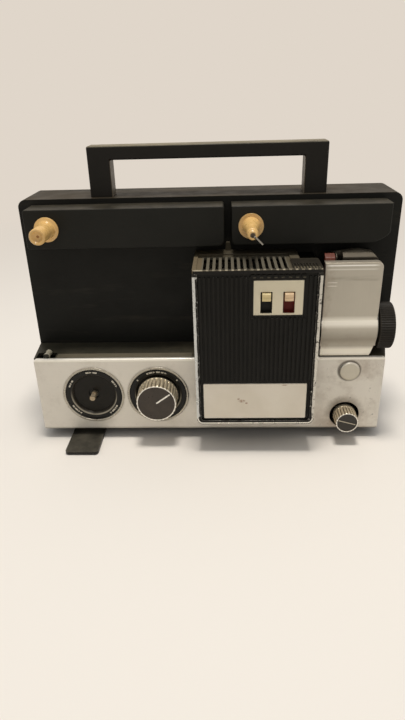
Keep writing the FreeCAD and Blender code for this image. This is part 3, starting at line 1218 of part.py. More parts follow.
def loop_lever():
    side = [(LEVER_FRONT, GATE_TOP + LEVER_TRAVEL + 1), (LEVER_BACK, GATE_TOP + LEVER_TRAVEL + 1),
            (LEVER_BACK, DOOR_TOP + LEVER_RISE), (LEVER_FRONT + 1, DOOR_TOP + LEVER_RISE - 3)]
    cap = plate_x(side, [0, 0, 1.5, 1.5], LEVER_LEFT, LEVER_RIGHT)
    stem = box(STEM_X, STEM_X + STEM_SIZE, STEM_Y, STEM_Y + STEM_SIZE, STEM_GUIDE_Z - 2,
               GATE_TOP + LEVER_TRAVEL + 1)
    return join(cap, [stem])


def claw():
    right = CLAW_LEFT + CLAW_THICK
    reach = CAM_RADIUS + 2 * CLAW_STROKE + 0.4
    side = CAM_RADIUS + CLAW_STROKE + SLIDE_GAP
    frame = box(CLAW_LEFT, right, SHUTTER_Y - side - 1.6, SHUTTER_Y + side + 1.6, LENS_Z - reach - 2,
                LENS_Z + reach + 2)
    window = box(CLAW_LEFT - 1, right + 1, SHUTTER_Y - side, SHUTTER_Y + side, LENS_Z - reach, LENS_Z + reach)
    arm = box(CLAW_LEFT, right, CLAW_Y - 0.8, SHUTTER_Y - side - 1, LENS_Z - 2, LENS_Z + 2)
    tooth = box(right - 0.5, FILM_X + 0.6, CLAW_Y - 0.8, CLAW_Y + 0.8, LENS_Z - 0.6, LENS_Z + 0.6)
    return join(cut(frame, [window]), [arm, tooth])


def lens_mount():
    left = BARREL_LEFT + BARREL_TRAVEL
    right = RING_LEFT + RING_LAP - FIT_GAP
    tube = rod_x(LENS_Y, LENS_Z, MOUNT_RADIUS, left, right)
    foot_left = left + MOUNT_FOOT_INSET
    foot = box(foot_left, foot_left + MOUNT_FOOT_LENGTH, LENS_Y + MOUNT_FOOT_SINK, WALL_Y,
               LENS_Z - MOUNT_FOOT_HALF, LENS_Z + MOUNT_FOOT_HALF)
    bore = rod_x(LENS_Y, LENS_Z, BARREL_RADIUS + RUN_GAP, left - 1, right + 1)
    return cut(join(tube, [foot]), [bore])


def lens_barrel():
    return turned_x(LENS_Y, LENS_Z, [
        (BARREL_BORE - 1, BARREL_LEFT), (BARREL_RADIUS, BARREL_LEFT), (BARREL_RADIUS, BARREL_RIGHT),
        (BARREL_BORE + 1, BARREL_RIGHT), (BARREL_BORE + RUN_GAP, BARREL_RIGHT - 1),
        (BARREL_BORE + RUN_GAP, BARREL_LEFT + 2), (BARREL_BORE - 1, BARREL_LEFT + 2)])


def lens_glass():
    # Two glass elements, thicker in the middle
    elements = []
    for middle in (BARREL_LEFT + 6.5, BARREL_RIGHT - 4.5):
        edge = math.sqrt(LENS_BALL ** 2 - BARREL_BORE ** 2)
        left = Part.makeSphere(LENS_BALL, Vector(middle + edge - 1, LENS_Y, LENS_Z))
        right = Part.makeSphere(LENS_BALL, Vector(middle - edge + 1, LENS_Y, LENS_Z))
        elements.append(left.common(right).common(rod_x(LENS_Y, LENS_Z, BARREL_BORE, middle - 6, middle + 6)))
    return Part.makeCompound(elements)


def ridged(count, radius, depth, place):
    # A round outline with flat ridges all round, as a face
    points = []
    for i in range(count):
        for share, reach in ((0.0, radius), (0.5, radius), (0.62, radius - depth), (0.88, radius - depth)):
            angle = 2 * math.pi * (i + share) / count
            points.append(place(reach * math.cos(angle), reach * math.sin(angle)))
    return Part.Face(Part.makePolygon(points + points[:1]))


def focus_ring():
    seat = BARREL_RADIUS + SEAT_GAP
    counterbore = MOUNT_RADIUS + RUN_GAP
    shoulder = RING_LEFT + RING_LAP
    left, right = RING_LEFT + RING_EDGE, RING_RIGHT - RING_EDGE
    core = turned_x(LENS_Y, LENS_Z, [
        (counterbore, RING_LEFT), (RING_RADIUS - RING_RIDGE - RING_EDGE, RING_LEFT),
        (RING_RADIUS - RING_RIDGE, left),
        (RING_RADIUS - RING_RIDGE, right), (RING_RADIUS - RING_RIDGE - RING_EDGE, RING_RIGHT),
        (RING_RADIUS - 3, RING_RIGHT), (seat, BARREL_RIGHT - 1), (seat, shoulder), (counterbore, shoulder)])
    grip = ridged(RING_RIDGE_COUNT, RING_RADIUS, RING_RIDGE, lambda y,
                  z: Vector(left, LENS_Y + y, LENS_Z + z))
    grip = grip.extrude(Vector(right - left, 0, 0))
    grip = cut(grip, [rod_x(LENS_Y, LENS_Z, RING_RADIUS - 3, left - 1, right + 1)])
    return join(core, [grip])


def swell_outline():
    # Side outline of the door's swell: a round crest with a crisp upper edge and a cove below
    def spot(y, z):
        return Vector(DOOR_LEFT, y, z)

    reach = BULGE_RADIUS + COVE_RADIUS
    cove_y = -COVE_RADIUS
    cove_z = LENS_Z - math.sqrt(reach ** 2 - (LENS_Y - cove_y) ** 2)
    top_z = LENS_Z + math.sqrt(BULGE_RADIUS ** 2 - LENS_Y ** 2)
    lean = math.atan2(LENS_Z - cove_z, LENS_Y - cove_y)
    meet = spot(cove_y + COVE_RADIUS * math.cos(lean), cove_z + COVE_RADIUS * math.sin(lean))
    middle = spot(cove_y + COVE_RADIUS * math.cos(lean / 2), cove_z + COVE_RADIUS * math.sin(lean / 2))
    start, crest, end = spot(0, top_z), spot(LENS_Y - BULGE_RADIUS, LENS_Z), spot(0, cove_z)
    inner_end, inner_start = spot(DOOR_THICK, cove_z), spot(DOOR_THICK, top_z)
    return Part.Face(Part.Wire([
        Part.Arc(start, crest, meet).toShape(),
        Part.Arc(meet, middle, end).toShape(),
        Part.makeLine(end, inner_end),
        Part.makeLine(inner_end, inner_start),
        Part.makeLine(inner_start, start),
    ]))


def gate_door():
    # Door skin with its rim, the swell over the lens mount and two hinge knuckles
    heel_z = DOOR_BOTTOM + DOOR_HEEL
    heel_mid = (DOOR_RIGHT - DOOR_HEEL_CUT * 0.28, DOOR_BOTTOM + DOOR_HEEL * 0.5)

    def skin(inset, y0, y1):
        left, right = DOOR_LEFT + inset, DOOR_RIGHT - inset
        bottom, top = DOOR_BOTTOM + inset, DOOR_TOP - inset
        corner = DOOR_CORNER - inset
        toe = Vector(right - DOOR_HEEL_CUT, y0, bottom)
        heel = Vector(right, y0, heel_z)
        middle = Vector(heel_mid[0] - inset, y0, heel_mid[1])
        slant = corner * (1 - math.sqrt(0.5))
        edges = [
            Part.makeLine(Vector(left, y0, bottom), toe),
            Part.Arc(toe, middle, heel).toShape(),
            Part.makeLine(heel, Vector(right, y0, top - corner)),
            Part.Arc(Vector(right, y0, top - corner), Vector(right - slant, y0, top - slant),
                     Vector(right - corner, y0, top)).toShape(),
            Part.makeLine(Vector(right - corner, y0, top), Vector(left, y0, top)),
            Part.makeLine(Vector(left, y0, top), Vector(left, y0, bottom)),
        ]
        return Part.Face(Part.Wire(edges)).extrude(Vector(0, y1 - y0, 0))

    plate = soften_at_y(skin(0, 0, DOOR_RIM), 0, DOOR_EDGE)
    hollow = skin(DOOR_THICK, DOOR_THICK, DOOR_RIM + 1)
    left_open = box(DOOR_LEFT - 1, DOOR_LEFT + DOOR_THICK + 1, DOOR_THICK, DOOR_RIM + 1, DOOR_BOTTOM - 1,
                    DOOR_TOP - DOOR_THICK)
    low_open = box(DOOR_LEFT - 1, DOOR_RIGHT + 1, DOOR_THICK, DOOR_RIM + 1, DOOR_BOTTOM - 1,
                   DOOR_BOTTOM + DOOR_THICK + 1)
    swell = swell_outline().extrude(Vector(DOOR_WIDTH, 0, 0))
    lens_room = rod_x(LENS_Y, LENS_Z, BULGE_RADIUS - DOOR_THICK, DOOR_LEFT - 1, DOOR_RIGHT + 1)
    door = cut(join(cut(plate, [hollow, left_open, low_open]), [swell]), [lens_room])
    knuckles = []
    for z in (EAR_LOW - SLIDE_GAP - KNUCKLE_HEIGHT, EAR_HIGH - SLIDE_GAP - KNUCKLE_HEIGHT):
        knuckle = rod_z(HINGE_X, HINGE_Y, KNUCKLE_RADIUS, z, z + KNUCKLE_HEIGHT)
        web = box(HINGE_X - KNUCKLE_RADIUS + 0.6, HINGE_X + KNUCKLE_RADIUS, DOOR_THICK - 0.5, HINGE_Y, z,
                  z + KNUCKLE_HEIGHT)
        knuckles += [knuckle, web]
    bore = rod_z(HINGE_X, HINGE_Y, HINGE_PIN_RADIUS + RUN_GAP, DOOR_BOTTOM - 1, DOOR_TOP - DOOR_THICK - 1)
    return cut(join(door, knuckles), [bore])


def door_pin():
    return rod_z(HINGE_X, HINGE_Y, HINGE_PIN_RADIUS, EAR_LOW - SLIDE_GAP - KNUCKLE_HEIGHT,
                 EAR_HIGH + EAR_HEIGHT)


def film_guide():
    # Entry block above the gate with an arched top, and the film slot at its left
    low = DOOR_TOP - GUIDE_DROP
    top = DOOR_TOP + GUIDE_RISE
    front = DOOR_RIM + 3.0
    back = front + GUIDE_DEPTH
    left = LEVER_RIGHT + 0.9
    right = DOOR_RIGHT - 2.4
    side = [(front, low), (WALL_Y, low), (WALL_Y, low + 4), (back + 2, low + 4), (back, top),
            (front + 7, top - 0.3),
            (front, DOOR_TOP + 1.6)]
    block = plate_x(side, [0, 0, 0, 0, 1, 3, 0.6], left, right)
    arch = plate_y([(left - 1, low - 1), (right + 1, low - 1), (right + 1, DOOR_TOP - 1),
                    (right - 3, top - 2),
                    (left + 0.55 * (right - left), top), (left - 1, top - 2.4)], [0, 0, 0, 3, 12, 0],
                    front - 1,
                   WALL_Y + 1)
    film_slot = box(FILM_X - 0.1, FILM_X + FILM_SLOT, front - 1, front + 9.5, low - 1, top + 3)
    return cut(block.common(arch), [film_slot])


def film_track():
    # Film channel under the ledge, with the lid that shows in the ledge
    right = DOOR_LEFT + 2
    front, back = TRACK_FRONT - 0.1, TRACK_REAR + 0.8
    under = LEDGE_UNDER - 0.15
    channel = box(NOTCH_RIGHT, right, front, back, TRACK_FLOOR, under)
    channel = cut(channel, [box(NOTCH_RIGHT - 1, right + 1, front + 1, back - 1, TRACK_FLOOR + 1.2,
                                under - 1.0)])
    lid = box(TRACK_LEFT + FIT_GAP, TRACK_RIGHT - FIT_GAP, TRACK_FRONT + FIT_GAP, TRACK_REAR - FIT_GAP,
              under - 0.5,
              PANEL_HEIGHT + 0.3)
    return join(channel, [lid])


def exit_roller():
    sleeve = turned_y(ROLLER_X, ROLLER_Z, [
        (ROLLER_PIN_RADIUS + RUN_GAP, NOTCH_FRONT + 0.3), (ROLLER_RADIUS, NOTCH_FRONT + 0.3),
        (ROLLER_RADIUS, NOTCH_FRONT + 1.2), (ROLLER_RADIUS - 0.5, NOTCH_FRONT + 1.6),
        (ROLLER_RADIUS - 0.5, NOTCH_REAR - 1.6), (ROLLER_RADIUS, NOTCH_REAR - 1.2),
        (ROLLER_RADIUS, NOTCH_REAR - 0.3), (ROLLER_PIN_RADIUS + RUN_GAP, NOTCH_REAR - 0.3)])
    return sleeve


def dial(x):
    return turned_y(x, DIAL_Z, [
        (DIAL_BORE, DIAL_FLOOR), (DIAL_LIP, DIAL_FLOOR), (DIAL_LIP, DIAL_FRONT + 0.4),
        (DIAL_LIP + 0.4, DIAL_FRONT), (DIAL_RADIUS - 0.8, DIAL_FRONT), (DIAL_RADIUS, DIAL_FRONT + 0.8),
        (DIAL_RADIUS, DIAL_FLOOR + DIAL_THICK), (DIAL_BORE, DIAL_FLOOR + DIAL_THICK)])


def switch_body(x, shaft_radius):
    front = DIAL_FLOOR + DIAL_THICK
    body = rod_y(x, DIAL_Z, SWITCH_BODY_RADIUS, front, front + SWITCH_BODY_DEPTH)
    bush = rod_y(x, DIAL_Z, shaft_radius + BUSH_WALL, DIAL_FLOOR + BUSH_SINK, front)
    tags = []
    tag = box(x + SWITCH_BODY_RADIUS - 2, x + SWITCH_BODY_RADIUS + 3, front + 8, front + 9, DIAL_Z - 1,
              DIAL_Z + 1)
    for i in range(TAG_COUNT):
        tags.append(turn_y(tag, x, DIAL_Z, 360 * i / TAG_COUNT))
    bore = rod_y(x, DIAL_Z, shaft_radius + RUN_GAP, front - 4, front + SWITCH_BODY_DEPTH - 2)
    return cut(join(body, [bush] + tags), [bore])


def selector_shaft():
    shaft = rod_y(SELECTOR_X, DIAL_Z, SELECTOR_SHAFT_RADIUS, -SELECTOR_SHAFT_REACH, SHAFT_END_Y)
    flat = box(SELECTOR_X - 4, SELECTOR_X + 4, -SELECTOR_SHAFT_REACH - 1, -SELECTOR_SHAFT_REACH + 7,
               DIAL_Z + SELECTOR_SHAFT_RADIUS - 0.8, DIAL_Z + 4)
    return cut(shaft, [flat])


def ridged_rod(x, z, radius, count, y0, y1):
    grip = ridged(count, radius, KNOB_RIDGE, lambda dx, dz: Vector(x + dx, y0, z + dz))
    return grip.extrude(Vector(0, y1 - y0, 0))


def knob(x, z, radius, front, back, count):
    # A turned knob with a plain rim, a sunk face and a ridged side
    root = radius - KNOB_RIDGE
    rim = radius - KNOB_RIM
    core = turned_y(x, z, [
        (0, front + KNOB_DISH), (rim, front + KNOB_DISH), (rim, front), (radius - 0.5, front),
        (radius, front + 0.5),
        (radius, front + 2), (root, front + 2), (root, back - 1), (radius, back - 1), (radius, back),
        (0, back)])
    return join(core, [ridged_rod(x, z, radius, count, front + 2, back - 1)])


def speed_knob():
    back = DIAL_FRONT - 0.6
    body = knob(SPEED_X, DIAL_Z, SPEED_KNOB_RADIUS, -SPEED_KNOB_REACH, back, KNOB_RIDGE_COUNT)
    return join(body, [rod_y(SPEED_X, DIAL_Z, SPEED_SHAFT_RADIUS, back, SHAFT_END_Y)])


def framing_knob():
    back = PANEL_BACK
    body = knob(FRAMING_X, FRAMING_Z, FRAMING_RADIUS, -FRAMING_REACH, back, FRAMING_RIDGE_COUNT)
    return join(body, [rod_y(FRAMING_X, FRAMING_Z, FRAMING_SHAFT_RADIUS, back, LUG_FRONT + LUG_THICK + 4)])


def door_button():
    back = BUTTON_BACK
    cap = turned_y(BUTTON_X, BUTTON_Z, [
        (0, -BUTTON_PROUD), (BUTTON_RADIUS - 2.2, -BUTTON_PROUD + 0.15),
        (BUTTON_RADIUS - 0.5, -BUTTON_PROUD + 0.7),
        (BUTTON_RADIUS, -BUTTON_PROUD + 1.3), (BUTTON_RADIUS, back), (0, back)])
    return cap


def motor_housing():
    can = rod_x(MOTOR_Y, MOTOR_Z, MOTOR_RADIUS, MOTOR_LEFT, MOTOR_RIGHT)
    hollow = rod_x(MOTOR_Y, MOTOR_Z, MOTOR_RADIUS - MOTOR_WALL, MOTOR_LEFT + MOTOR_WALL,
                   MOTOR_RIGHT - MOTOR_WALL)
    bore = rod_x(MOTOR_Y, MOTOR_Z, MOTOR_SHAFT_RADIUS + RUN_GAP, MOTOR_LEFT - 1, MOTOR_RIGHT + 1)
    return cut(can, [hollow, bore])


def motor_rotor():
    # Shaft with the armature, the cooling fan and the belt pulley
    fan_left = FAN_RIGHT - FAN_WIDTH
    shaft = rod_x(MOTOR_Y, MOTOR_Z, MOTOR_SHAFT_RADIUS, fan_left - 1, DRIVE_X + 5)
    core = rod_x(MOTOR_Y, MOTOR_Z, MOTOR_RADIUS - 2 * MOTOR_WALL, MOTOR_LEFT + 8, MOTOR_RIGHT - 8)
    hub = rod_x(MOTOR_Y, MOTOR_Z, 5.0, fan_left, FAN_RIGHT)
    disc = rod_x(MOTOR_Y, MOTOR_Z, FAN_RADIUS, FAN_RIGHT - 1.2, FAN_RIGHT)
    blades = []
    blade = box(fan_left, FAN_RIGHT - 1, MOTOR_Y - 0.5, MOTOR_Y + 0.5, MOTOR_Z + 4, MOTOR_Z + FAN_RADIUS)
    for i in range(FAN_BLADE_COUNT):
        blades.append(turn_x(blade, MOTOR_Y, MOTOR_Z, 360 * i / FAN_BLADE_COUNT))
    pulley = pulley_x(MOTOR_Y, MOTOR_Z, MOTOR_PULLEY, DRIVE_X)
    return join(shaft, [core, hub, disc, pulley] + blades)


def shutter():
    # Three-bladed disc on the main shaft, with the claw cam, the worm and the driven pulley
    shaft = rod_x(SHUTTER_Y, LENS_Z, SHUTTER_SHAFT_RADIUS, BEARING_LEFT - 1, BEARING_RIGHT + LUG_SHEET + 1)
    half = SHUTTER_THICK / 2
    disc = rod_x(SHUTTER_Y, LENS_Z, SHUTTER_RADIUS, SHUTTER_X - half, SHUTTER_X + half)
    windows = []
    span = 360 / SHUTTER_BLADE_COUNT / 2
    inner = BEAM_Y - 5.5
    gap = Part.makeCylinder(SHUTTER_RADIUS + 1, SHUTTER_THICK + 1, Vector(SHUTTER_X - half - 0.5, SHUTTER_Y,
                                                                          LENS_Z),
                            Vector(1, 0, 0), span)
    gap = cut(gap, [rod_x(SHUTTER_Y, LENS_Z, inner, SHUTTER_X - 2, SHUTTER_X + 2)])
    for i in range(SHUTTER_BLADE_COUNT):
        windows.append(turn_x(gap, SHUTTER_Y, LENS_Z, 360 * i / SHUTTER_BLADE_COUNT))
    disc = cut(disc, windows)
    hub = rod_x(SHUTTER_Y, LENS_Z, 5.0, SHUTTER_X - 3, SHUTTER_X + 2)
    cam = rod_x(SHUTTER_Y + CLAW_STROKE, LENS_Z, CAM_RADIUS, CLAW_LEFT - 0.4, CLAW_LEFT + CLAW_THICK + 0.4)
    worm = turned_x(SHUTTER_Y, LENS_Z, [(0, WORM_LEFT), (WORM_RADIUS - 1, WORM_LEFT),
                                        (WORM_RADIUS, WORM_LEFT + 1),
                                        (WORM_RADIUS, WORM_RIGHT - 1), (WORM_RADIUS - 1, WORM_RIGHT),
                                        (0, WORM_RIGHT)])
    pulley = pulley_x(SHUTTER_Y, LENS_Z, DRIVE_PULLEY, DRIVE_X)
    return join(shaft, [disc, hub, cam, worm, pulley])


def drive_belt():
    return belt((SHUTTER_Y, LENS_Z), DRIVE_PULLEY, (MOTOR_Y, MOTOR_Z), MOTOR_PULLEY,
                lambda y, z: Vector(DRIVE_X - BELT_WIDTH / 2, y, z), Vector(BELT_WIDTH, 0, 0))


def sprocket():
    # Film sprocket, worm wheel and take-up drive pulley on one shaft
    front = LENS_Y - SPROCKET_HALF
    back = LENS_Y + SPROCKET_HALF
    drum = turned_y(SPROCKET_X, SPROCKET_Z, [
        (0, front), (SPROCKET_RADIUS, front), (SPROCKET_RADIUS, front + 1.5),
        (SPROCKET_RADIUS - 1, front + 2),
        (SPROCKET_RADIUS - 1, back - 2.6), (SPROCKET_RADIUS, back - 2.2), (SPROCKET_RADIUS, back), (0, back)])
    tooth = box(SPROCKET_X - 0.4, SPROCKET_X + 0.4, back - 1.6, back - 0.6, SPROCKET_Z + SPROCKET_RADIUS - 1,
                SPROCKET_Z + SPROCKET_RADIUS + 0.9)
    teeth = [turn_y(tooth, SPROCKET_X, SPROCKET_Z,
                    360 * i / SPROCKET_TOOTH_COUNT) for i in range(SPROCKET_TOOTH_COUNT)]
    shaft = rod_y(SPROCKET_X, SPROCKET_Z, SPROCKET_SHAFT_RADIUS, front - 0.4,
                  TAKEUP_BELT_Y + PULLEY_WIDTH / 2)
    wheel = rod_y(SPROCKET_X, SPROCKET_Z, WHEEL_RADIUS, SHUTTER_Y - 3, SHUTTER_Y + 3)
    pulley = pulley_y(SPROCKET_X, SPROCKET_Z, TAKEUP_DRIVE, TAKEUP_BELT_Y)
    return join(drum, teeth + [shaft, wheel, pulley])


def chassis_plate():
    # Mechanism plate with bearing lugs, stood off the front wall of the shell
    back = CHASSIS_Y + CHASSIS_THICK
    plate = panel_y(BEARING_LEFT, CHASSIS_RIGHT, CHASSIS_BOTTOM, CHASSIS_TOP, 4, CHASSIS_Y, back)
    disc_slot = box(SHUTTER_X - SHUTTER_SLOT, SHUTTER_X + SHUTTER_SLOT, CHASSIS_Y - 1, back + 1,
                    LENS_Z - SHUTTER_RADIUS - 1, LENS_Z + SHUTTER_RADIUS + 1)
    pulley_slot = box(DRIVE_X - PULLEY_WIDTH + 0.6, DRIVE_X + PULLEY_WIDTH - 0.6, CHASSIS_Y - 1, back + 1,
                      LENS_Z - DRIVE_PULLEY - 4, CHASSIS_TOP + 1)
    plate = cut(plate, [disc_slot, pulley_slot])
    left_lug = box(BEARING_LEFT, BEARING_LEFT + LUG_SHEET, WALL_INNER_Y + 0.5, MOTOR_Y + 15, LENS_Z - 10,
                   MOTOR_Z + 16)
    right_lug = box(BEARING_RIGHT, BEARING_RIGHT + LUG_SHEET, WALL_INNER_Y + 0.5, back, LENS_Z - 8,
                    LENS_Z + 8)
    posts = [rod_y(x, z, STANDOFF_RADIUS, WALL_INNER_Y, CHASSIS_Y) for x, z in STANDOFFS]
    plate = join(plate, [left_lug, right_lug] + posts)
    bores = [
        rod_x(SHUTTER_Y, LENS_Z, SHUTTER_SHAFT_RADIUS + RUN_GAP, BEARING_LEFT - 1,
              BEARING_LEFT + LUG_SHEET + 1),
        rod_x(SHUTTER_Y, LENS_Z, SHUTTER_SHAFT_RADIUS + RUN_GAP, BEARING_RIGHT - 1,
              BEARING_RIGHT + LUG_SHEET + 1),
        rod_x(MOTOR_Y, MOTOR_Z, MOTOR_SHAFT_RADIUS + 1, BEARING_LEFT - 1, BEARING_LEFT + LUG_SHEET + 1),
        rod_y(SPROCKET_X, SPROCKET_Z, SPROCKET_SHAFT_RADIUS + RUN_GAP, CHASSIS_Y - 1, back + 1),
    ]
    return cut(plate, bores)


def transformer():
    right = TRANSFORMER_LEFT + TRANSFORMER_WIDTH
    core = box(TRANSFORMER_LEFT, right, TRANSFORMER_FRONT + COIL_STEP, TRANSFORMER_BACK - COIL_STEP,
               FLOOR_THICK,
               TRANSFORMER_HEIGHT)
    coil = panel_y(TRANSFORMER_LEFT + TRANSFORMER_WIDTH / 5, right - TRANSFORMER_WIDTH / 5, FLOOR_THICK + 8,
                   TRANSFORMER_HEIGHT - 8, 3, TRANSFORMER_FRONT, TRANSFORMER_BACK)
    return join(core, [coil])


def mains_inlet():
    left, right = INLET_X - INLET_WIDTH / 2, INLET_X + INLET_WIDTH / 2
    low, high = INLET_Z - INLET_HEIGHT / 2, INLET_Z + INLET_HEIGHT / 2
    front = REAR_Y - INLET_DEPTH
    body = panel_y(left, right, low, high, 2, front, REAR_Y)
    shroud = panel_y(left + INLET_WALL, right - INLET_WALL, low + INLET_WALL, high - INLET_WALL, INLET_WALL,
                     front + INLET_WALL, REAR_Y + 1)
    pins = [rod_y(INLET_X + side * 4.5, INLET_Z, 1.2, front + 2, REAR_Y - 3) for side in (-1, 1)]
    flange = panel_y(left - INLET_FLANGE, right + INLET_FLANGE, low - INLET_FLANGE, high + INLET_FLANGE, 2,
                     REAR_Y - WALL - 1.5, REAR_Y - WALL)
    return join(cut(join(body, [flange]), [shroud]), pins)


PIECES = {
    "front_panel": front_panel,
    "deck": deck,
    "body_shell": body_shell,
    "rear_cover": rear_cover,
    "case_screws": case_screws,
    "base_plate": base_plate,
    "feet": feet,
    "stabiliser": stabiliser,
    "takeup_housing": takeup_housing,
    "takeup_spindle": takeup_spindle,
    "takeup_pulley": takeup_pulley,
    "takeup_belt": takeup_belt,
    "feed_arm": feed_arm,
    "arm_back": arm_back,
    "arm_pin": arm_pin,
    "arm_pulley": arm_pulley,
    "arm_belt": arm_belt,
    "feed_spindle": feed_spindle,
    "reel_clip": reel_clip,
    "carry_handle": carry_handle,
    "cover_frame": cover_frame,
    "lamp_cover": lamp_cover,
    "cover_vent": cover_vent,
    "name_plate": name_plate,
    "switch_plate": switch_plate,
    "lamp_switch_cap": lambda: switch_cap(LAMP_SWITCH_X),
    "motor_switch_cap": lambda: switch_cap(MOTOR_SWITCH_X),
    "lamp_house": lamp_house,
    "lamp_socket": lamp_socket,
    "lamp": lamp,
    "reflector": reflector,
    "film_gate": film_gate,
    "aperture_mask": aperture_mask,
    "loop_lever": loop_lever,
    "claw": claw,
    "lens_mount": lens_mount,
    "lens_barrel": lens_barrel,
    "lens_glass": lens_glass,
    "focus_ring": focus_ring,
    "gate_door": gate_door,
    "door_pin": door_pin,
    "film_guide": film_guide,
    "film_track": film_track,
    "exit_roller": exit_roller,
    "selector_dial": lambda: dial(SELECTOR_X),
    "speed_dial": lambda: dial(SPEED_X),
    "selector_switch": lambda: switch_body(SELECTOR_X, SELECTOR_SHAFT_RADIUS),
    "speed_control": lambda: switch_body(SPEED_X, SPEED_SHAFT_RADIUS),
    "selector_shaft": selector_shaft,
    "speed_knob": speed_knob,
    "framing_knob": framing_knob,
    "door_button": door_button,
    "motor_housing": motor_housing,
    "motor_rotor": motor_rotor,
    "shutter": shutter,
    "drive_belt": drive_belt,
    "sprocket": sprocket,
    "chassis_plate": chassis_plate,
    "transformer": transformer,
    "mains_inlet": mains_inlet,
}

os.makedirs("parts", exist_ok=True)
for name, make in PIECES.items():
    shape = make()
    shape.translate(Vector(-BODY_SHIFT, -ORIGIN_Y, -FLOOR_Z))
    shape.exportStep(os.path.join("parts", name + ".step"))
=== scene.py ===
import json
import math

import bmesh
import bpy
from mathutils import Matrix, Vector


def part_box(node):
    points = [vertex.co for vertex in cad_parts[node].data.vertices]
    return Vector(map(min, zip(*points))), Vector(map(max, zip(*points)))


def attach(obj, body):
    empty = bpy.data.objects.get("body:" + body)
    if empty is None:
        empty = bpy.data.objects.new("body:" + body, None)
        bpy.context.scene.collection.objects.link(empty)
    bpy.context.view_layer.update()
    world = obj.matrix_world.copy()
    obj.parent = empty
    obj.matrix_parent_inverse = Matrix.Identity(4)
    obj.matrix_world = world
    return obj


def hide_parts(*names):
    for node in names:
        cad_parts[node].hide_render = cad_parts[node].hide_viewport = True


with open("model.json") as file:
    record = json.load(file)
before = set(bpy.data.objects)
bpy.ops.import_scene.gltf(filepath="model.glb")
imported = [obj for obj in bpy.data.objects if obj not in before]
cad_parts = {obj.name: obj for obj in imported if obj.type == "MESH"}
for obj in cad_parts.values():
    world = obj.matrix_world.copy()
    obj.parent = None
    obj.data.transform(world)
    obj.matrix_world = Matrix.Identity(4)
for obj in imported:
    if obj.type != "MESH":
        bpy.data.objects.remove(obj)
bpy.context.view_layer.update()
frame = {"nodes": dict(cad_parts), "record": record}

nodes = frame["nodes"]

# Places are written in millimetres in the panel's frame: X right from its middle, Y back from its face,
# Z up from its lower edge. P moves a point into the frame of the part, in metres.
ORIGIN = (2.2, 26.5, -9.0)
MM = 0.001


def P(x, y, z):
    return Vector([(value - start) * MM for value, start in zip((x, y, z), ORIGIN)])


class Place:
    """The sides and the middle of a node in the panel's frame."""

    # A turned node's facets end a little short of its sides, so its middle is taken to this step.
    STEP = 0.05

    def __init__(self, node):
        low, high = (Vector(corner) / MM + Vector(ORIGIN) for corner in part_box(node))
        self.left, self.front, self.low = low
        self.right, self.back, self.top = high
        self.x, self.y, self.z = (round(value / self.STEP) * self.STEP for value in (low + high) / 2)


PANEL = Place("front_panel")
BODY = Place("body_shell")
COVER = Place("cover_frame")
VENT = Place("cover_vent")
NAME = Place("name_plate")
SWITCHES = Place("switch_plate")
MOTOR_CAP = Place("motor_switch_cap")
DOOR = Place("gate_door")
GUIDE = Place("film_guide")
BUTTON = Place("door_button")
FOCUS = Place("focus_ring")
SELECTOR = Place("selector_dial")
SPEED = Place("speed_dial")
FRAMING = Place("framing_knob")
TAKEUP = Place("takeup_spindle")
FEED = Place("feed_spindle")
TRACK = Place("film_track")
ROLLER = Place("exit_roller")
HANDLE = Place("carry_handle")

# Sizes that these boxes don't give
TRIM_CORNER = 5.0
SLOT_PITCH, GROOVE_PITCH = 4.44, 2.16
BUTTON_RADIUS = 8.0
SPEED_FACE, SPEED_RIDGE = 16.1, 0.85
FRAMING_FACE, FRAMING_RIDGE = 9.1, 0.7
HANDLE_POST, HANDLE_BAR, HANDLE_SUNK = 17.0, 10.0, 1.2


# Colours
def srgb(r, g, b):
    """A colour from screen values of 0 to 255."""
    def linear(v):
        v /= 255
        return v / 12.92 if v <= 0.04045 else ((v + 0.055) / 1.055) ** 2.4
    return (linear(r), linear(g), linear(b), 1.0)


def shade(colour, factor):
    """The same colour, darker below a factor of 1 and lighter above."""
    return tuple(min(c * factor, 1.0) for c in colour[:3]) + (1.0,)


DUST = srgb(118, 108, 88)
BROWN = srgb(120, 92, 62)
# The next colour serves soot specks and the painted shade round the dials
SOOT_AND_SHADE = srgb(34, 29, 24)


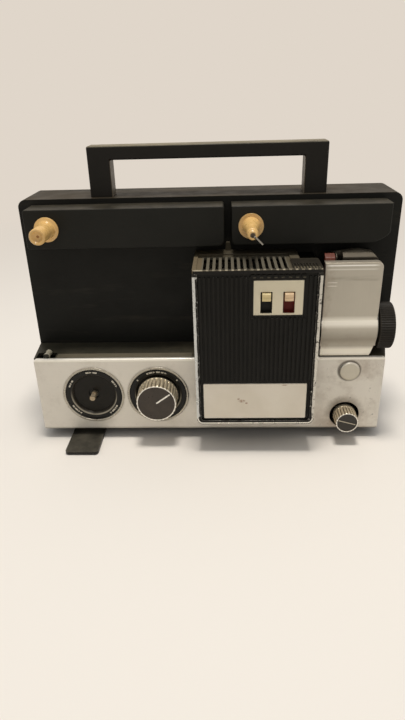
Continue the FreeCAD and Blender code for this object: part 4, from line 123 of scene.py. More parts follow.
# Shader nodes
class Nodes:
    """Adds and links the nodes of one node tree."""

    FACTOR, COLOUR_A, COLOUR_B, MIXED = 0, 6, 7, 2

    def __init__(self, tree):
        self.tree = tree
        self.where = self.add("ShaderNodeTexCoord").outputs

    def add(self, kind, inputs=None, **settings):
        node = self.tree.nodes.new(kind)
        for key, value in settings.items():
            setattr(node, key, value)
        for key, value in (inputs or {}).items():
            self.feed(node.inputs[key], value)
        return node

    def feed(self, socket, value):
        if isinstance(value, bpy.types.NodeSocket):
            self.tree.links.new(value, socket)
        else:
            socket.default_value = value

    def noise(self, scale, detail, roughness, stretch=None):
        place = self.where["Object"]
        if stretch:
            place = self.add("ShaderNodeMapping", {"Vector": place, "Scale": stretch}).outputs[0]
        values = {"Vector": place, "Scale": scale, "Detail": detail, "Roughness": roughness}
        return self.add("ShaderNodeTexNoise", values).outputs["Fac"]

    def remap(self, value, low, high, to_low=0.0, to_high=1.0):
        values = {"Value": value, "From Min": low, "From Max": high, "To Min": to_low, "To Max": to_high}
        return self.add("ShaderNodeMapRange", values).outputs["Result"]

    def patches(self, scale, detail, roughness, low, high, to_low=0.0, to_high=1.0, stretch=None):
        """Noise whose values from low to high are spread from to_low to to_high."""
        return self.remap(self.noise(scale, detail, roughness, stretch), low, high, to_low, to_high)

    def mix(self, factor, a, b):
        values = {self.FACTOR: factor, self.COLOUR_A: a, self.COLOUR_B: b}
        return self.add("ShaderNodeMix", values, data_type="RGBA").outputs[self.MIXED]

    def tint(self, paint, colour, *factors):
        """Lays a colour over the paint, as strongly as the product of the factors."""
        return self.mix(self.times(*factors), paint, colour)

    def math(self, operation, a, b=0.0):
        return self.add("ShaderNodeMath", {0: a, 1: b}, operation=operation).outputs[0]

    def times(self, value, *others):
        for other in others:
            value = self.math("MULTIPLY", value, other)
        return value

    def plus(self, a, b):
        return self.math("ADD", a, b)

    def minus(self, a, b):
        return self.math("SUBTRACT", a, b)

    def larger(self, a, b):
        return self.math("MAXIMUM", a, b)

    def smaller(self, a, b):
        return self.math("MINIMUM", a, b)

    def away(self, a, b):
        """How far a lies from b, on either side."""
        return self.math("ABSOLUTE", self.minus(a, b))

    def reach(self, a, b):
        """The distance that a step of a across and b up covers."""
        return self.math("SQRT", self.plus(self.times(a, a), self.times(b, b)))

    def wave(self, value, start, pitch):
        return self.math("SINE", self.times(self.minus(value, start), 2 * math.pi / pitch))

    def band(self, value, low, high, soft):
        """1 between low and high, and 0 outside."""
        return self.times(self.remap(value, low - soft, low + soft),
                          self.remap(value, high - soft, high + soft, 1.0, 0.0))

    def spot(self, x, z, at_x, at_z, radius_x, radius_z, soft):
        """1 inside an ellipse, and 0 outside."""
        across = self.math("DIVIDE", self.minus(x, at_x), radius_x)
        up = self.math("DIVIDE", self.minus(z, at_z), radius_z)
        return self.remap(self.reach(across, up), 1.0, 1.0 - soft)

    def bevel(self, width, samples):
        return self.add("ShaderNodeBevel", {"Radius": width * MM}, samples=samples).outputs[0]

    def edges(self, width):
        """1 on sharp edges, and 0 on plain faces."""
        true = self.add("ShaderNodeNewGeometry").outputs["True Normal"]
        both = {0: self.bevel(width, 6), 1: true}
        dot = self.add("ShaderNodeVectorMath", both, operation="DOT_PRODUCT").outputs["Value"]
        return self.remap(dot, 0.965, 0.80)

    def place_mm(self):
        """The point's X, Y and Z in the panel's frame."""
        values = {0: self.where["Object"], 1: (1 / MM,) * 3, 2: ORIGIN}
        scaled = self.add("ShaderNodeVectorMath", values, operation="MULTIPLY_ADD").outputs[0]
        split = self.add("ShaderNodeSeparateXYZ", {0: scaled}).outputs
        return split["X"], split["Y"], split["Z"]


# Painted places: each function gets the nodes, the paint so far and the point's place in the panel's frame
def panel_paint(n, paint, x, y, z):
    """Brown smudges at the right, soot round the framing knob, painted shade round the button and the dials,
    a painted highlight along the top lip and a duller lower edge.
    """
    smudged = n.remap(x, COVER.right - 5.3, COVER.right + 16.7, 0.0, 0.58)
    paint = n.tint(paint, BROWN, n.patches(28.0, 5.0, 0.65, 0.42, 0.68), smudged)
    specked = n.remap(x, COVER.right - 23.3, COVER.right + 16.7, 0.12, 0.8)
    paint = n.tint(paint, SOOT_AND_SHADE, n.patches(260.0, 3.0, 0.6, 0.64, 0.72, 0.0, 0.6), specked)
    halo = n.spot(x, z, FRAMING.x - 0.5, FRAMING.z + 3.0, 17.0, 15.5, 0.36)
    paint = n.tint(paint, srgb(74, 60, 42), halo, n.patches(120.0, 4.0, 0.7, 0.3, 0.65, 0.15, 0.6))
    # Painted shade: a dark ring on the panel round the button, a little above its middle
    ring = n.spot(x, z, BUTTON.x - 0.4, BUTTON.z + 0.6, BUTTON_RADIUS + 2.0, BUTTON_RADIUS + 2.0, 0.14)
    paint = n.tint(paint, srgb(60, 50, 36), ring, 0.8)
    # Painted shade: a dark ring on the panel just outside each dial's bezel
    for dial in (SELECTOR, SPEED):
        shadow = n.spot(x, z, dial.x, dial.z, 26.6, 26.6, 0.06)
        paint = n.tint(paint, SOOT_AND_SHADE, shadow, n.patches(90.0, 3.0, 0.6, 0.3, 0.7, 0.05, 0.4))
    paint = n.tint(paint, srgb(150, 136, 112), n.patches(46.0, 6.0, 0.75, 0.5, 0.75, 0.0, 0.22))
    # Painted highlight: a bright band along the top lip
    lip = n.remap(z, PANEL.top - 2.6, PANEL.top - 1.6, 0.0, 0.9)
    paint = n.tint(paint, srgb(250, 245, 232), lip)
    low = n.remap(z, PANEL.low + 2.2, PANEL.low + 0.6, 0.0, 0.6)
    return n.tint(paint, srgb(92, 84, 70), low)


def door_paint(n, paint, x, y, z):
    """A worn band near the top, two scratches, brown darkening towards the left edge and the bottom,
    painted light and shade on the swell, and painted highlight lines under the top edge.
    """
    band = n.times(n.band(z, DOOR.top - 13.9, DOOR.top - 10.1, 0.5),
                   n.band(x, DOOR.left + 4.0, DOOR.right - 2.9, 2.0))
    streaks = n.patches(420.0, 3.0, 0.6, 0.42, 0.6, 0.05, 0.3, (0.1, 1, 1))
    paint = n.tint(paint, srgb(118, 108, 92), band, streaks)
    for down in (15.3, 17.9):
        mark = DOOR.top - down
        scratch = n.times(n.band(z, mark, mark + 0.45, 0.15),
                          n.band(x, DOOR.left + 2.6, DOOR.left + 9.4, 0.8))
        paint = n.tint(paint, srgb(250, 246, 236), scratch, 0.85)
    ragged_x = n.plus(x, n.patches(70.0, 5.0, 0.7, 0.3, 0.7, -7.0, 7.0))
    paint = n.tint(paint, BROWN, n.remap(ragged_x, DOOR.left + 6.0, DOOR.left - 2.0, 0.0, 0.3))
    ragged_z = n.plus(z, n.patches(60.0, 5.0, 0.7, 0.3, 0.7, -9.0, 9.0))
    paint = n.tint(paint, BROWN, n.remap(ragged_z, DOOR.low + 17.3, DOOR.low - 2.7, 0.0, 0.14))
    # Painted shade below the swell's crest, a painted highlight on the crest and a painted lighter band at
    # the foot
    paint = n.tint(paint, srgb(104, 95, 80), n.band(z, FOCUS.z - 10.0, FOCUS.z - 1.0, 4.0), 0.48)
    paint = n.tint(paint, srgb(255, 250, 236), n.band(z, FOCUS.z + 5.0, FOCUS.z + 11.5, 1.6), 0.7)
    paint = n.tint(paint, srgb(250, 244, 228), n.band(z, DOOR.low + 0.8, DOOR.low + 6.8, 1.5), 0.85)
    # Painted highlights: two bright lines under the top edge
    for down, strength in ((2.2, 1.0), (5.1, 0.4)):
        line = DOOR.top - down
        glint = n.times(n.band(z, line - 0.45, line + 0.45, 0.3),
                        n.band(x, DOOR.left + 2.0, DOOR.right - 4.4, 2.0))
        paint = n.tint(paint, srgb(255, 252, 244), glint, strength)
    return n.tint(paint, srgb(150, 138, 118), n.remap(z, DOOR.top - 1.1, DOOR.top - 0.3, 0.0, 0.5))


def frame_paint(n, paint, x, y, z):
    """Black lacquer on the trim's inner half and top, with bare metal left on its outer half."""
    middle, half = (COVER.left + COVER.right) / 2, (COVER.right - COVER.left) / 2
    past_x = n.minus(n.away(x, middle), half - TRIM_CORNER)
    past_z = n.minus(COVER.low + TRIM_CORNER, z)
    corner = n.reach(n.larger(past_x, 0.0), n.larger(past_z, 0.0))
    inner = n.smaller(n.larger(past_x, past_z), 0.0)
    inset = n.minus(TRIM_CORNER, n.plus(corner, inner))
    low = n.remap(z, COVER.low + 7.0, COVER.low + 4.5)
    line = n.times(n.band(inset, 0.5, 1.5, 0.15), low)
    rough = n.patches(150.0, 4.0, 0.7, 0.3, 0.7, -0.3, 0.3)
    lacquer = n.remap(n.plus(n.plus(inset, n.times(low, 2.0)), rough), 1.75, 2.15)
    chips = n.times(n.patches(330.0, 4.0, 0.7, 0.60, 0.64, 0.0, 0.8),
                    n.remap(z, COVER.low + 3.0, COVER.low + 8.0, 0.2, 1.0))
    lacquer = n.times(lacquer, n.minus(1.0, chips))
    worn = n.times(n.patches(240.0, 5.0, 0.75, 0.56, 0.62, 0.0, 0.9),
                   n.remap(x, COVER.left + 38.3, COVER.right - 1.3, 0.3, 1.0),
                   n.remap(z, COVER.low + 2.0, COVER.low + 5.0, 0.15, 1.0),
                   n.remap(y, COVER.front + 1.6, COVER.front + 0.6, 0.25, 1.0))
    top = n.remap(z, COVER.top - 2.4, COVER.top - 1.6)
    paint = n.tint(paint, srgb(206, 212, 216), n.remap(x, COVER.left + 18.3, COVER.left + 2.3, 0.0, 0.5))
    dark = n.times(n.larger(n.larger(lacquer, worn), top), n.minus(1.0, n.times(line, 0.9)))
    return n.tint(n.tint(paint, srgb(244, 240, 228), line), srgb(27, 25, 22), dark)


def cover_paint(n, paint, x, y, z):
    """Painted highlights on the rib ends under the top, and the red floor of the right switch slot."""
    # Painted highlights: pale marks on the rib ends under the top
    row = n.times(n.band(z, COVER.top - 3.6, COVER.top - 2.6, 0.25),
                  n.band(x, SWITCHES.left - 0.8, SWITCHES.right + 2.2, 2.0))
    rib_end_highlights = n.remap(n.wave(x, SWITCHES.left - 0.55, 5.0), -0.1, 0.5, 0.0, 0.8)
    paint = n.tint(paint, srgb(92, 86, 72), row, rib_end_highlights)
    slot = n.times(n.band(x, MOTOR_CAP.left - 1.1, MOTOR_CAP.right + 1.1, 0.1),
                   n.band(z, SWITCHES.low + 0.8, MOTOR_CAP.top + 1.1, 0.1))
    return n.tint(paint, srgb(96, 24, 16), slot, n.remap(y, SWITCHES.front + 0.1, SWITCHES.front + 0.4))


def vent_paint(n, paint, x, y, z):
    """Grey bars between the slots, a bright front edge of worn paint and painted highlight,
    and a black front face and right end.
    """
    black = srgb(22, 20, 17)
    ragged = n.plus(x, n.patches(90.0, 4.0, 0.7, 0.3, 0.7, -4.0, 4.0))
    paint = n.tint(paint, srgb(112, 98, 76), n.remap(ragged, VENT.left + 28.3, VENT.left + 2.3, 0.0, 0.8))
    slot = n.math("DIVIDE", n.minus(x, VENT.left + 8.7), SLOT_PITCH)
    off_slot = n.away(slot, n.math("ROUND", slot))
    bars = n.times(n.band(y, VENT.front + 0.4, VENT.front + 36.8, 0.2),
                   n.band(x, VENT.left + 6.4, VENT.left + 68.5, 0.2))
    paint = n.tint(paint, srgb(100, 95, 82), bars, 0.85)
    front_ends = n.remap(y, VENT.front + 4.8, VENT.front + 5.2, 1.0, 0.0)
    paint = n.tint(paint, black, bars, front_ends, n.remap(off_slot, 0.3, 0.25))
    right = n.remap(x, VENT.right - 21.8, VENT.right - 20.3, 0.0, 0.92)
    paint = n.tint(paint, black, right, n.remap(y, VENT.front + 28.0, VENT.front + 26.0))
    grooves = n.times(n.band(y, VENT.front + 1.4, VENT.front + 6.4, 0.3),
                      n.band(x, VENT.right - 20.7, VENT.right - 1.7, 0.4))
    specks = n.remap(n.wave(x, VENT.right - 18.7, GROOVE_PITCH), -0.1, -0.6, 0.0, 0.6)
    paint = n.tint(paint, srgb(126, 116, 94), grooves, specks)
    paint = n.tint(paint, black, n.remap(z, VENT.low + 2.6, VENT.low + 2.3),
                   n.remap(y, VENT.front + 0.7, VENT.front + 0.4))
    # The bright front edge is partly worn paint and partly a painted highlight, broken in patches
    chipped_highlight = n.patches(200.0, 5.0, 0.75, 0.40, 0.52, 0.1, 1.0)
    whole = n.larger(n.remap(off_slot, 0.26, 0.34, 0.15, 1.0), n.remap(x, VENT.left + 8.3, VENT.left + 6.3))
    return n.tint(paint, srgb(206, 194, 168), n.remap(y, VENT.front + 0.9, VENT.front + 0.5),
                  n.remap(z, VENT.low + 2.3, VENT.low + 2.6), chipped_highlight, whole)


# Stains on the name plate: right and up from its lower left corner, and their two radii
STAINS = ((29.5, 15.4, 3.2, 1.5), (26.9, 17.2, 1.3, 1.0), (62.0, 29.2, 2.6, 0.6), (33.1, 13.5, 1.2, 0.8))


def name_paint(n, paint, x, y, z):
    """Small brown stains and faint yellowing."""
    ragged = n.patches(500.0, 4.0, 0.7, 0.35, 0.6, 0.0, 0.9)
    for right, up, radius_x, radius_z in STAINS:
        stain = n.spot(x, z, NAME.left + right, NAME.low + up, radius_x, radius_z, 0.35)
        paint = n.tint(paint, srgb(140, 84, 48), stain, ragged)
    return n.tint(paint, srgb(206, 190, 160), n.patches(22.0, 4.0, 0.6, 0.45, 0.75, 0.0, 0.35))


def switch_paint(n, paint, x, y, z):
    """Painted shade: a dark line round the switch plate, for the gap round it."""
    side = n.minus((SWITCHES.right - SWITCHES.left) / 2, n.away(x, SWITCHES.x))
    height = n.minus((SWITCHES.top - SWITCHES.low) / 2, n.away(z, SWITCHES.z))
    # Painted shade along the plate's edges
    return n.tint(paint, srgb(30, 27, 23), n.remap(n.smaller(side, height), 0.5, 0.3, 0.0, 0.92))


def deck_paint(n, paint, x, y, z):
    """The ledge's front strip is worn to a paler brown, and dust lies against the cover."""
    strip = n.times(n.remap(y, PANEL.back + 0.9, PANEL.back + 0.4, 0.0, 0.75),
                    n.remap(z, PANEL.top - 1.4, PANEL.top - 0.8))
    paint = n.tint(paint, srgb(128, 118, 98), strip, n.remap(x, TRACK.left - 0.7, TRACK.left + 1.3))
    near = n.remap(x, COVER.left - 36.7, COVER.left - 3.7, 0.0, 0.35)
    return n.tint(paint, srgb(116, 106, 84), near, n.patches(130.0, 5.0, 0.7, 0.4, 0.65, 0.2, 1.0),
                  n.remap(z, PANEL.top - 0.8, PANEL.top - 0.2))


def shell_paint(n, paint, x, y, z):
    """Faint level scuffs on the walls, and brown patches along the top."""
    scuffs = n.patches(60.0, 5.0, 0.7, 0.55, 0.72, 0.0, 0.16, (0.12, 1, 1))
    paint = n.tint(paint, srgb(92, 84, 70), scuffs)
    patches = n.patches(36.0, 5.0, 0.65, 0.35, 0.7, 0.15, 0.6, (0.5, 1, 1))
    return n.tint(paint, srgb(66, 54, 36), patches, n.remap(z, BODY.top - 0.5, BODY.top - 0.1))


def handle_paint(n, paint, x, y, z):
    """Paler brown streaks along the top, and painted light on the inner sides of the posts."""
    streaks = n.patches(70.0, 5.0, 0.7, 0.35, 0.65, 0.4, 1.0, (0.25, 1, 1))
    top = n.remap(z, HANDLE.top - 0.9, HANDLE.top - 0.2, 0.0, 0.95)
    paint = n.tint(paint, srgb(132, 122, 97), top, streaks)
    post = (HANDLE.right - HANDLE.left) / 2 - HANDLE_POST
    under = HANDLE.top - HANDLE_BAR
    # Painted light: paler brown on the inner sides of the posts, under the bar
    return n.tint(paint, srgb(150, 136, 116), n.remap(n.away(x, HANDLE.x), post + 0.6, post + 0.1, 0.0, 0.55),
                  n.remap(z, under - 0.2, under - 0.8))


def tip_paint(n, paint, x, y, z):
    """Painted shade: a dark spot for the bore in the tip of the feed spindle."""
    bore = n.spot(x, z, FEED.x, FEED.z, 2.1, 2.1, 0.2)
    return n.tint(paint, srgb(40, 33, 26), bore, n.remap(y, FEED.front + 2.8, FEED.front + 2.3, 0.0, 0.92))


def lip_paint(n, paint, x, y, z):
    """Painted highlight: the lip of a dial's recess is brighter along its lower half only."""
    middle, half = (SELECTOR.x + SPEED.x) / 2, (SPEED.x - SELECTOR.x) / 2
    up = n.minus(z, SPEED.z)
    reach = n.reach(n.minus(n.away(x, middle), half), up)
    return n.tint(paint, srgb(158, 150, 132), n.remap(reach, 17.9, 18.4), n.remap(up, 4.0, -5.0, 0.0, 0.9))


def groove_paint(knob, radius, depth):
    """Darker brown paint in the grooves of a knob's ridged side."""
    def darken_grooves(n, paint, x, y, z):
        out = n.reach(n.minus(x, knob.x), n.minus(z, knob.z))
        # Darker towards the bottom of each groove
        groove_darkening = n.remap(out, radius - 0.3 * depth, radius - 0.85 * depth, 0.0, 0.85)
        return n.tint(paint, srgb(78, 64, 46), groove_darkening)
    return darken_grooves


def button_paint(n, paint, x, y, z):
    """A painted highlight on the upper rim and painted shade on the lower one."""
    rim = n.minus(1.0, n.spot(x, z, BUTTON.x, BUTTON.z, BUTTON_RADIUS, BUTTON_RADIUS, 0.2))
    paint = n.tint(paint, srgb(255, 250, 238), rim, n.remap(z, BUTTON.z + 2.0, BUTTON.z + 6.0, 0.0, 0.9))
    return n.tint(paint, srgb(96, 86, 68), rim, n.remap(z, BUTTON.z, BUTTON.z - 5.0, 0.0, 0.4))


def guide_paint(n, paint, x, y, z):
    """Painted light: paler grey over the arched top of the film guide, which faces the light from above."""
    return n.tint(paint, srgb(122, 113, 98), n.remap(z, GUIDE.low + 3.7, GUIDE.low + 6.1, 0.0, 0.6))


def rubbed(n, paint, colour, amount, width):
    """Rubs the sharp edges down to another colour, in patches."""
    return n.tint(paint, colour, n.edges(width), n.patches(220.0, 5.0, 0.7, 0.38, 0.62, 0.0, amount))


def dusted(n, paint, colour, amount):
    """Lets dust lie on faces that look up, in patches."""
    up = n.add("ShaderNodeSeparateXYZ", {0: n.add("ShaderNodeNewGeometry").outputs["Normal"]}).outputs["Z"]
    settled = n.patches(90.0, 5.0, 0.65, 0.35, 0.7, 0.3, 1.0)
    return n.tint(paint, colour, n.remap(up, 0.5, 1.0, 0.0, amount), settled)


# Finishes
FINISH = {}


def add_finish(name, colour, rough, metal, vary, vary_scale, rough_vary=0.08, grain=0.0,
               grain_scale=1400.0, stretch=None, edge=0.35, wear=None, wear_amount=0.6, wear_width=0.9,
               dust=None, dust_amount=0.3, coat=0.0, specular=0.5, transmission=0.0, paint_on=None):
    """A finish with blotches, a fine grain, softened edges and, if asked, painted places, wear and dust."""
    FINISH[name] = bpy.data.materials.new(name)
    FINISH[name].use_nodes = True
    n = Nodes(FINISH[name].node_tree)
    blotches = n.patches(vary_scale, 4.0, 0.6, 0.3, 0.7)
    fine = n.noise(grain_scale, 2.0, 0.5, stretch)
    paint = n.mix(blotches, shade(colour, 1 - vary), shade(colour, 1 + vary))
    deep = n.mix(blotches, shade(colour, 1 - 2 * vary), shade(colour, 1))
    paint = n.mix(n.remap(fine, 0.35, 0.65, 0.0, 0.5), paint, deep)
    if paint_on:
        paint = paint_on(n, paint, *n.place_mm())
    if wear:
        paint = rubbed(n, paint, wear, wear_amount, wear_width)
    if dust:
        paint = dusted(n, paint, dust, dust_amount)
    sockets = n.tree.nodes["Principled BSDF"].inputs
    n.feed(sockets["Base Color"], paint)
    smoothest, roughest = max(rough - rough_vary, 0.05), min(rough + rough_vary, 1.0)
    n.feed(sockets["Roughness"], n.patches(vary_scale * 2.3, 4.0, 0.6, 0.3, 0.7, smoothest, roughest))
    sockets["Metallic"].default_value = metal
    sockets["Specular IOR Level"].default_value = specular
    sockets["Transmission Weight"].default_value = transmission
    if coat:
        sockets["Coat Weight"].default_value = coat
        sockets["Coat Roughness"].default_value = 0.15
    normal = n.bevel(edge, 4) if edge else None
    if grain:
        bump = n.add("ShaderNodeBump", {"Strength": grain, "Distance": 0.2 * MM, "Height": fine})
        if normal:
            n.feed(bump.inputs["Normal"], normal)
        normal = bump.outputs[0]
    if normal:
        n.feed(sockets["Normal"], normal)


# Panel, door, trim and body
add_finish("silver_panel", srgb(224, 218, 206), 0.40, 0.35, 0.035, 25, grain=0.22, stretch=(0.03, 1, 1),
           wear=srgb(228, 222, 208), wear_amount=0.45, paint_on=panel_paint)
add_finish("silver_door", srgb(190, 183, 168), 0.36, 0.42, 0.04, 30, grain=0.1, stretch=(1, 1, 0.03), edge=0,
           paint_on=door_paint)
add_finish("silver_trim", srgb(206, 202, 192), 0.28, 0.7, 0.06, 40, grain=0.12, stretch=(1, 1, 0.05),
           wear=srgb(226, 222, 210), wear_amount=0.35, paint_on=frame_paint)
add_finish("bezel_silver", srgb(176, 170, 156), 0.28, 0.7, 0.05, 60, grain=0.1)
add_finish("black_shell", srgb(29, 29, 26), 0.52, 0.0, 0.10, 30, grain=0.4, grain_scale=900, specular=0.13,
           wear=srgb(76, 69, 56), wear_amount=0.5, dust=DUST, dust_amount=0.04, paint_on=shell_paint)
add_finish("bar_plastic", srgb(29, 29, 25), 0.46, 0.0, 0.08, 30, grain=0.3, grain_scale=1100, specular=0.16,
           wear=srgb(70, 66, 54), wear_amount=0.5, dust=DUST, dust_amount=0.22)
add_finish("deck_grey", srgb(46, 45, 37), 0.48, 0.0, 0.10, 40, grain=0.35, grain_scale=900, specular=0.2,
           wear=srgb(96, 88, 70), dust=DUST, dust_amount=0.14, paint_on=deck_paint)
add_finish("cover_black", srgb(24, 23, 19), 0.38, 0.0, 0.10, 40, grain=0.2, specular=0.16,
           wear=srgb(70, 63, 50), wear_amount=0.2, wear_width=0.5, paint_on=cover_paint)
add_finish("vent_grey", srgb(84, 77, 62), 0.5, 0.0, 0.10, 60, grain=0.3, specular=0.2,
           wear=srgb(140, 130, 106), wear_amount=0.3, wear_width=0.4, dust=DUST, dust_amount=0.08,
           paint_on=vent_paint)
add_finish("handle_black", srgb(30, 28, 24), 0.42, 0.0, 0.12, 50, grain=0.3, grain_scale=1200, specular=0.16,
           wear=srgb(104, 92, 72), wear_amount=0.5, paint_on=handle_paint)
add_finish("base_dark", srgb(44, 42, 38), 0.6, 0.2, 0.12, 40, grain=0.2, specular=0.2, wear=srgb(104, 98, 86))
add_finish("inlet_black", srgb(30, 28, 24), 0.42, 0.0, 0.12, 50, grain=0.2, specular=0.3,
           wear=srgb(104, 92, 72), wear_amount=0.5)

# Plates, caps and spindles
add_finish("cream_plate", srgb(233, 223, 205), 0.45, 0.0, 0.03, 35, grain=0.08, wear=srgb(150, 128, 98),
           wear_amount=0.5, paint_on=name_paint)
add_finish("switch_plate", srgb(231, 220, 191), 0.42, 0.0, 0.03, 50, grain=0.08, paint_on=switch_paint)
add_finish("ivory_cap", srgb(222, 202, 148), 0.24, 0.0, 0.05, 200, wear=srgb(244, 230, 196))
add_finish("pink_cap", srgb(229, 198, 157), 0.24, 0.0, 0.05, 200, wear=srgb(240, 214, 190))
add_finish("cream_spindle", srgb(222, 179, 110), 0.30, 0.0, 0.08, 120, grain=0.1, coat=0.3,
           wear=srgb(240, 210, 150), wear_amount=0.5)
add_finish("feed_cream", srgb(224, 182, 114), 0.30, 0.0, 0.08, 120, grain=0.1, coat=0.3,
           wear=srgb(240, 210, 150), wear_amount=0.5, paint_on=tip_paint)
# A darker copy of the spindle cream, as painted shade in the take-up tip's dimple
add_finish("cream_shaded", srgb(168, 118, 58), 0.45, 0.0, 0.08, 120)

# Dials, knobs and their signs
add_finish("dial_black", srgb(25, 24, 21), 0.36, 0.0, 0.12, 80, grain=0.12, specular=0.24,
           wear=srgb(120, 112, 94), wear_amount=0.5)
add_finish("dial_floor", srgb(30, 27, 21), 0.42, 0.0, 0.16, 90, grain=0.2, specular=0.2)
add_finish("inner_ring", srgb(50, 46, 39), 0.42, 0.1, 0.10, 120, specular=0.3, paint_on=lip_paint)
add_finish("knob_silver", srgb(206, 192, 164), 0.34, 0.65, 0.06, 120, grain=0.1, wear=srgb(240, 230, 206),
           wear_amount=0.5, wear_width=0.4)
add_finish("speed_silver", srgb(214, 200, 172), 0.32, 0.65, 0.06, 120, grain=0.1,
           paint_on=groove_paint(SPEED, SPEED_FACE, SPEED_RIDGE))
add_finish("framing_silver", srgb(206, 192, 164), 0.32, 0.65, 0.06, 120, grain=0.1,
           paint_on=groove_paint(FRAMING, FRAMING_FACE, FRAMING_RIDGE))
add_finish("rim_bright", srgb(250, 245, 234), 0.3, 0.4, 0.05, 150)
add_finish("knob_face", srgb(58, 49, 40), 0.34, 0.15, 0.18, 150, grain=0.1, wear=srgb(110, 98, 80))
add_finish("slot_face", srgb(45, 41, 33), 0.36, 0.1, 0.18, 150, grain=0.1, wear=srgb(100, 90, 72))
add_finish("mark_white", srgb(206, 198, 180), 0.5, 0.0, 0.10, 400)
add_finish("line_brown", srgb(196, 186, 164), 0.4, 0.3, 0.10, 400)
add_finish("button_silver", srgb(199, 192, 175), 0.36, 0.45, 0.04, 90, grain=0.1, edge=0,
           paint_on=button_paint)
add_finish("shaft_brown", srgb(178, 160, 132), 0.34, 0.55, 0.10, 120, grain=0.1)

# Small outer pieces
add_finish("ring_rubber", srgb(31, 28, 23), 0.48, 0.0, 0.12, 90, grain=0.25, specular=0.2,
           wear=srgb(92, 82, 64), wear_width=0.5)
add_finish("foot_rubber", srgb(28, 28, 27), 0.75, 0.0, 0.15, 70, grain=0.4, specular=0.2)
add_finish("red_lever", srgb(104, 50, 34), 0.42, 0.0, 0.12, 150, wear=srgb(160, 96, 78))
add_finish("guide_grey", srgb(44, 39, 32), 0.42, 0.0, 0.10, 90, grain=0.15, specular=0.25,
           wear=srgb(138, 126, 106), dust=DUST, paint_on=guide_paint)
add_finish("track_grey", srgb(112, 104, 86), 0.42, 0.2, 0.08, 60, grain=0.2, stretch=(0.05, 1, 1),
           wear=srgb(160, 150, 128), wear_width=0.5)
add_finish("roller_white", srgb(186, 177, 154), 0.4, 0.0, 0.08, 120, grain=0.1)
add_finish("white_plastic", srgb(222, 216, 196), 0.42, 0.0, 0.05, 120, grain=0.1, wear=srgb(240, 236, 220))

# Inner pieces
add_finish("black_metal", srgb(32, 31, 27), 0.42, 0.0, 0.14, 60, grain=0.3, specular=0.25,
           wear=srgb(120, 112, 96), dust=srgb(140, 132, 114))
add_finish("bright_steel", srgb(150, 147, 140), 0.22, 1.0, 0.05, 150)
add_finish("zinc_steel", srgb(168, 166, 158), 0.38, 0.9, 0.10, 60, grain=0.2, wear=srgb(205, 203, 196))
add_finish("glass_clear", srgb(235, 240, 240), 0.06, 0.0, 0.01, 50, rough_vary=0.02, transmission=0.9,
           coat=0.4)
add_finish("glass_lamp", srgb(240, 240, 235), 0.05, 0.0, 0.02, 50, rough_vary=0.02, transmission=0.9)
add_finish("mirror_face", srgb(220, 219, 212), 0.08, 1.0, 0.02, 60, rough_vary=0.03)
add_finish("ceramic", srgb(222, 214, 196), 0.6, 0.0, 0.05, 90, grain=0.1)
add_finish("belt_rubber", srgb(26, 26, 25), 0.7, 0.0, 0.12, 90)
add_finish("coil_brown", srgb(120, 76, 36), 0.45, 0.1, 0.15, 120, grain=0.3)
add_finish("die_cast", srgb(140, 139, 132), 0.5, 0.8, 0.10, 80, grain=0.3, wear=srgb(180, 178, 170))

# A node wears the finish of its slot, or another of its own
SLOT_OF = {entry["node"]: entry["material_slot"] for entry in frame["record"]["subparts"]}
OWN_FINISH = {"switch_plate": "switch_plate", "film_track": "track_grey", "selector_shaft": "shaft_brown",
              "base_plate": "base_dark", "feed_spindle": "feed_cream", "mains_inlet": "inlet_black"}
for name, obj in nodes.items():
    obj.data.materials.clear()
    obj.data.materials.append(FINISH[OWN_FINISH.get(name, SLOT_OF[name])])

# Shapes: for each axis, the directions of a profile's first and second number, and of its length
AXES = {"X": (Vector((0, 1, 0)), Vector((0, 0, 1)), Vector((1, 0, 0))),
        "Y": (Vector((1, 0, 0)), Vector((0, 0, 1)), Vector((0, 1, 0)))}

# Points of a piece that lie closer than this, in metres, become one
MERGE_DISTANCE = 1e-7


def piece(name, verts, faces, finish, body, slot, sharp=32.0, bevel=0.0, replaces=()):
    """Makes a mesh piece from points in metres and rides it on its body; its slot is not used."""
    mesh = bpy.data.meshes.new(name)
    mesh.from_pydata([tuple(v) for v in verts], [], faces)
    bm = bmesh.new()
    bm.from_mesh(mesh)
    bmesh.ops.remove_doubles(bm, verts=bm.verts, dist=MERGE_DISTANCE)
    bmesh.ops.recalc_face_normals(bm, faces=bm.faces)
    bm.to_mesh(mesh)
    bm.free()
    mesh.shade_smooth()
    mesh.set_sharp_from_angle(angle=math.radians(sharp))
    mesh.materials.append(FINISH[finish])
    obj = bpy.data.objects.new(name, mesh)
    bpy.context.scene.collection.objects.link(obj)
    if bevel:
        edges = obj.modifiers.new("edges", "BEVEL")
        edges.width = bevel * MM
        edges.segments = 3
        edges.limit_method = "ANGLE"
        edges.angle_limit = math.radians(35)
        edges.harden_normals = True
    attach(obj, body)
    if replaces:
        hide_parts(*replaces)
    return obj


def lathe(name, axis, centre, profile, finish, body, slot, steps=128, ripple=None, **extra):
    """Turns pairs of radius and place along the axis about a line through centre."""
    side, up, along = AXES[axis]
    verts, faces = [], []
    for k in range(steps):
        angle = 2 * math.pi * k / steps
        spoke = side * math.cos(angle) + up * math.sin(angle)
        for i, (radius, place) in enumerate(profile):
            reach = radius - (ripple(k, i) if ripple and radius > 0 else 0.0)
            verts.append(centre + (spoke * reach + along * place) * MM)
    count = len(profile)
    for k in range(steps):
        ahead = (k + 1) % steps
        for i in range(count - 1):
            a, b = k * count + i, k * count + i + 1
            c, d = ahead * count + i + 1, ahead * count + i
            if profile[i][0] == 0:
                faces.append((a, b, c))
            elif profile[i + 1][0] == 0:
                faces.append((a, b, d))
            else:
                faces.append((a, b, c, d))
    return piece(name, verts, faces, finish, body, slot, **extra)


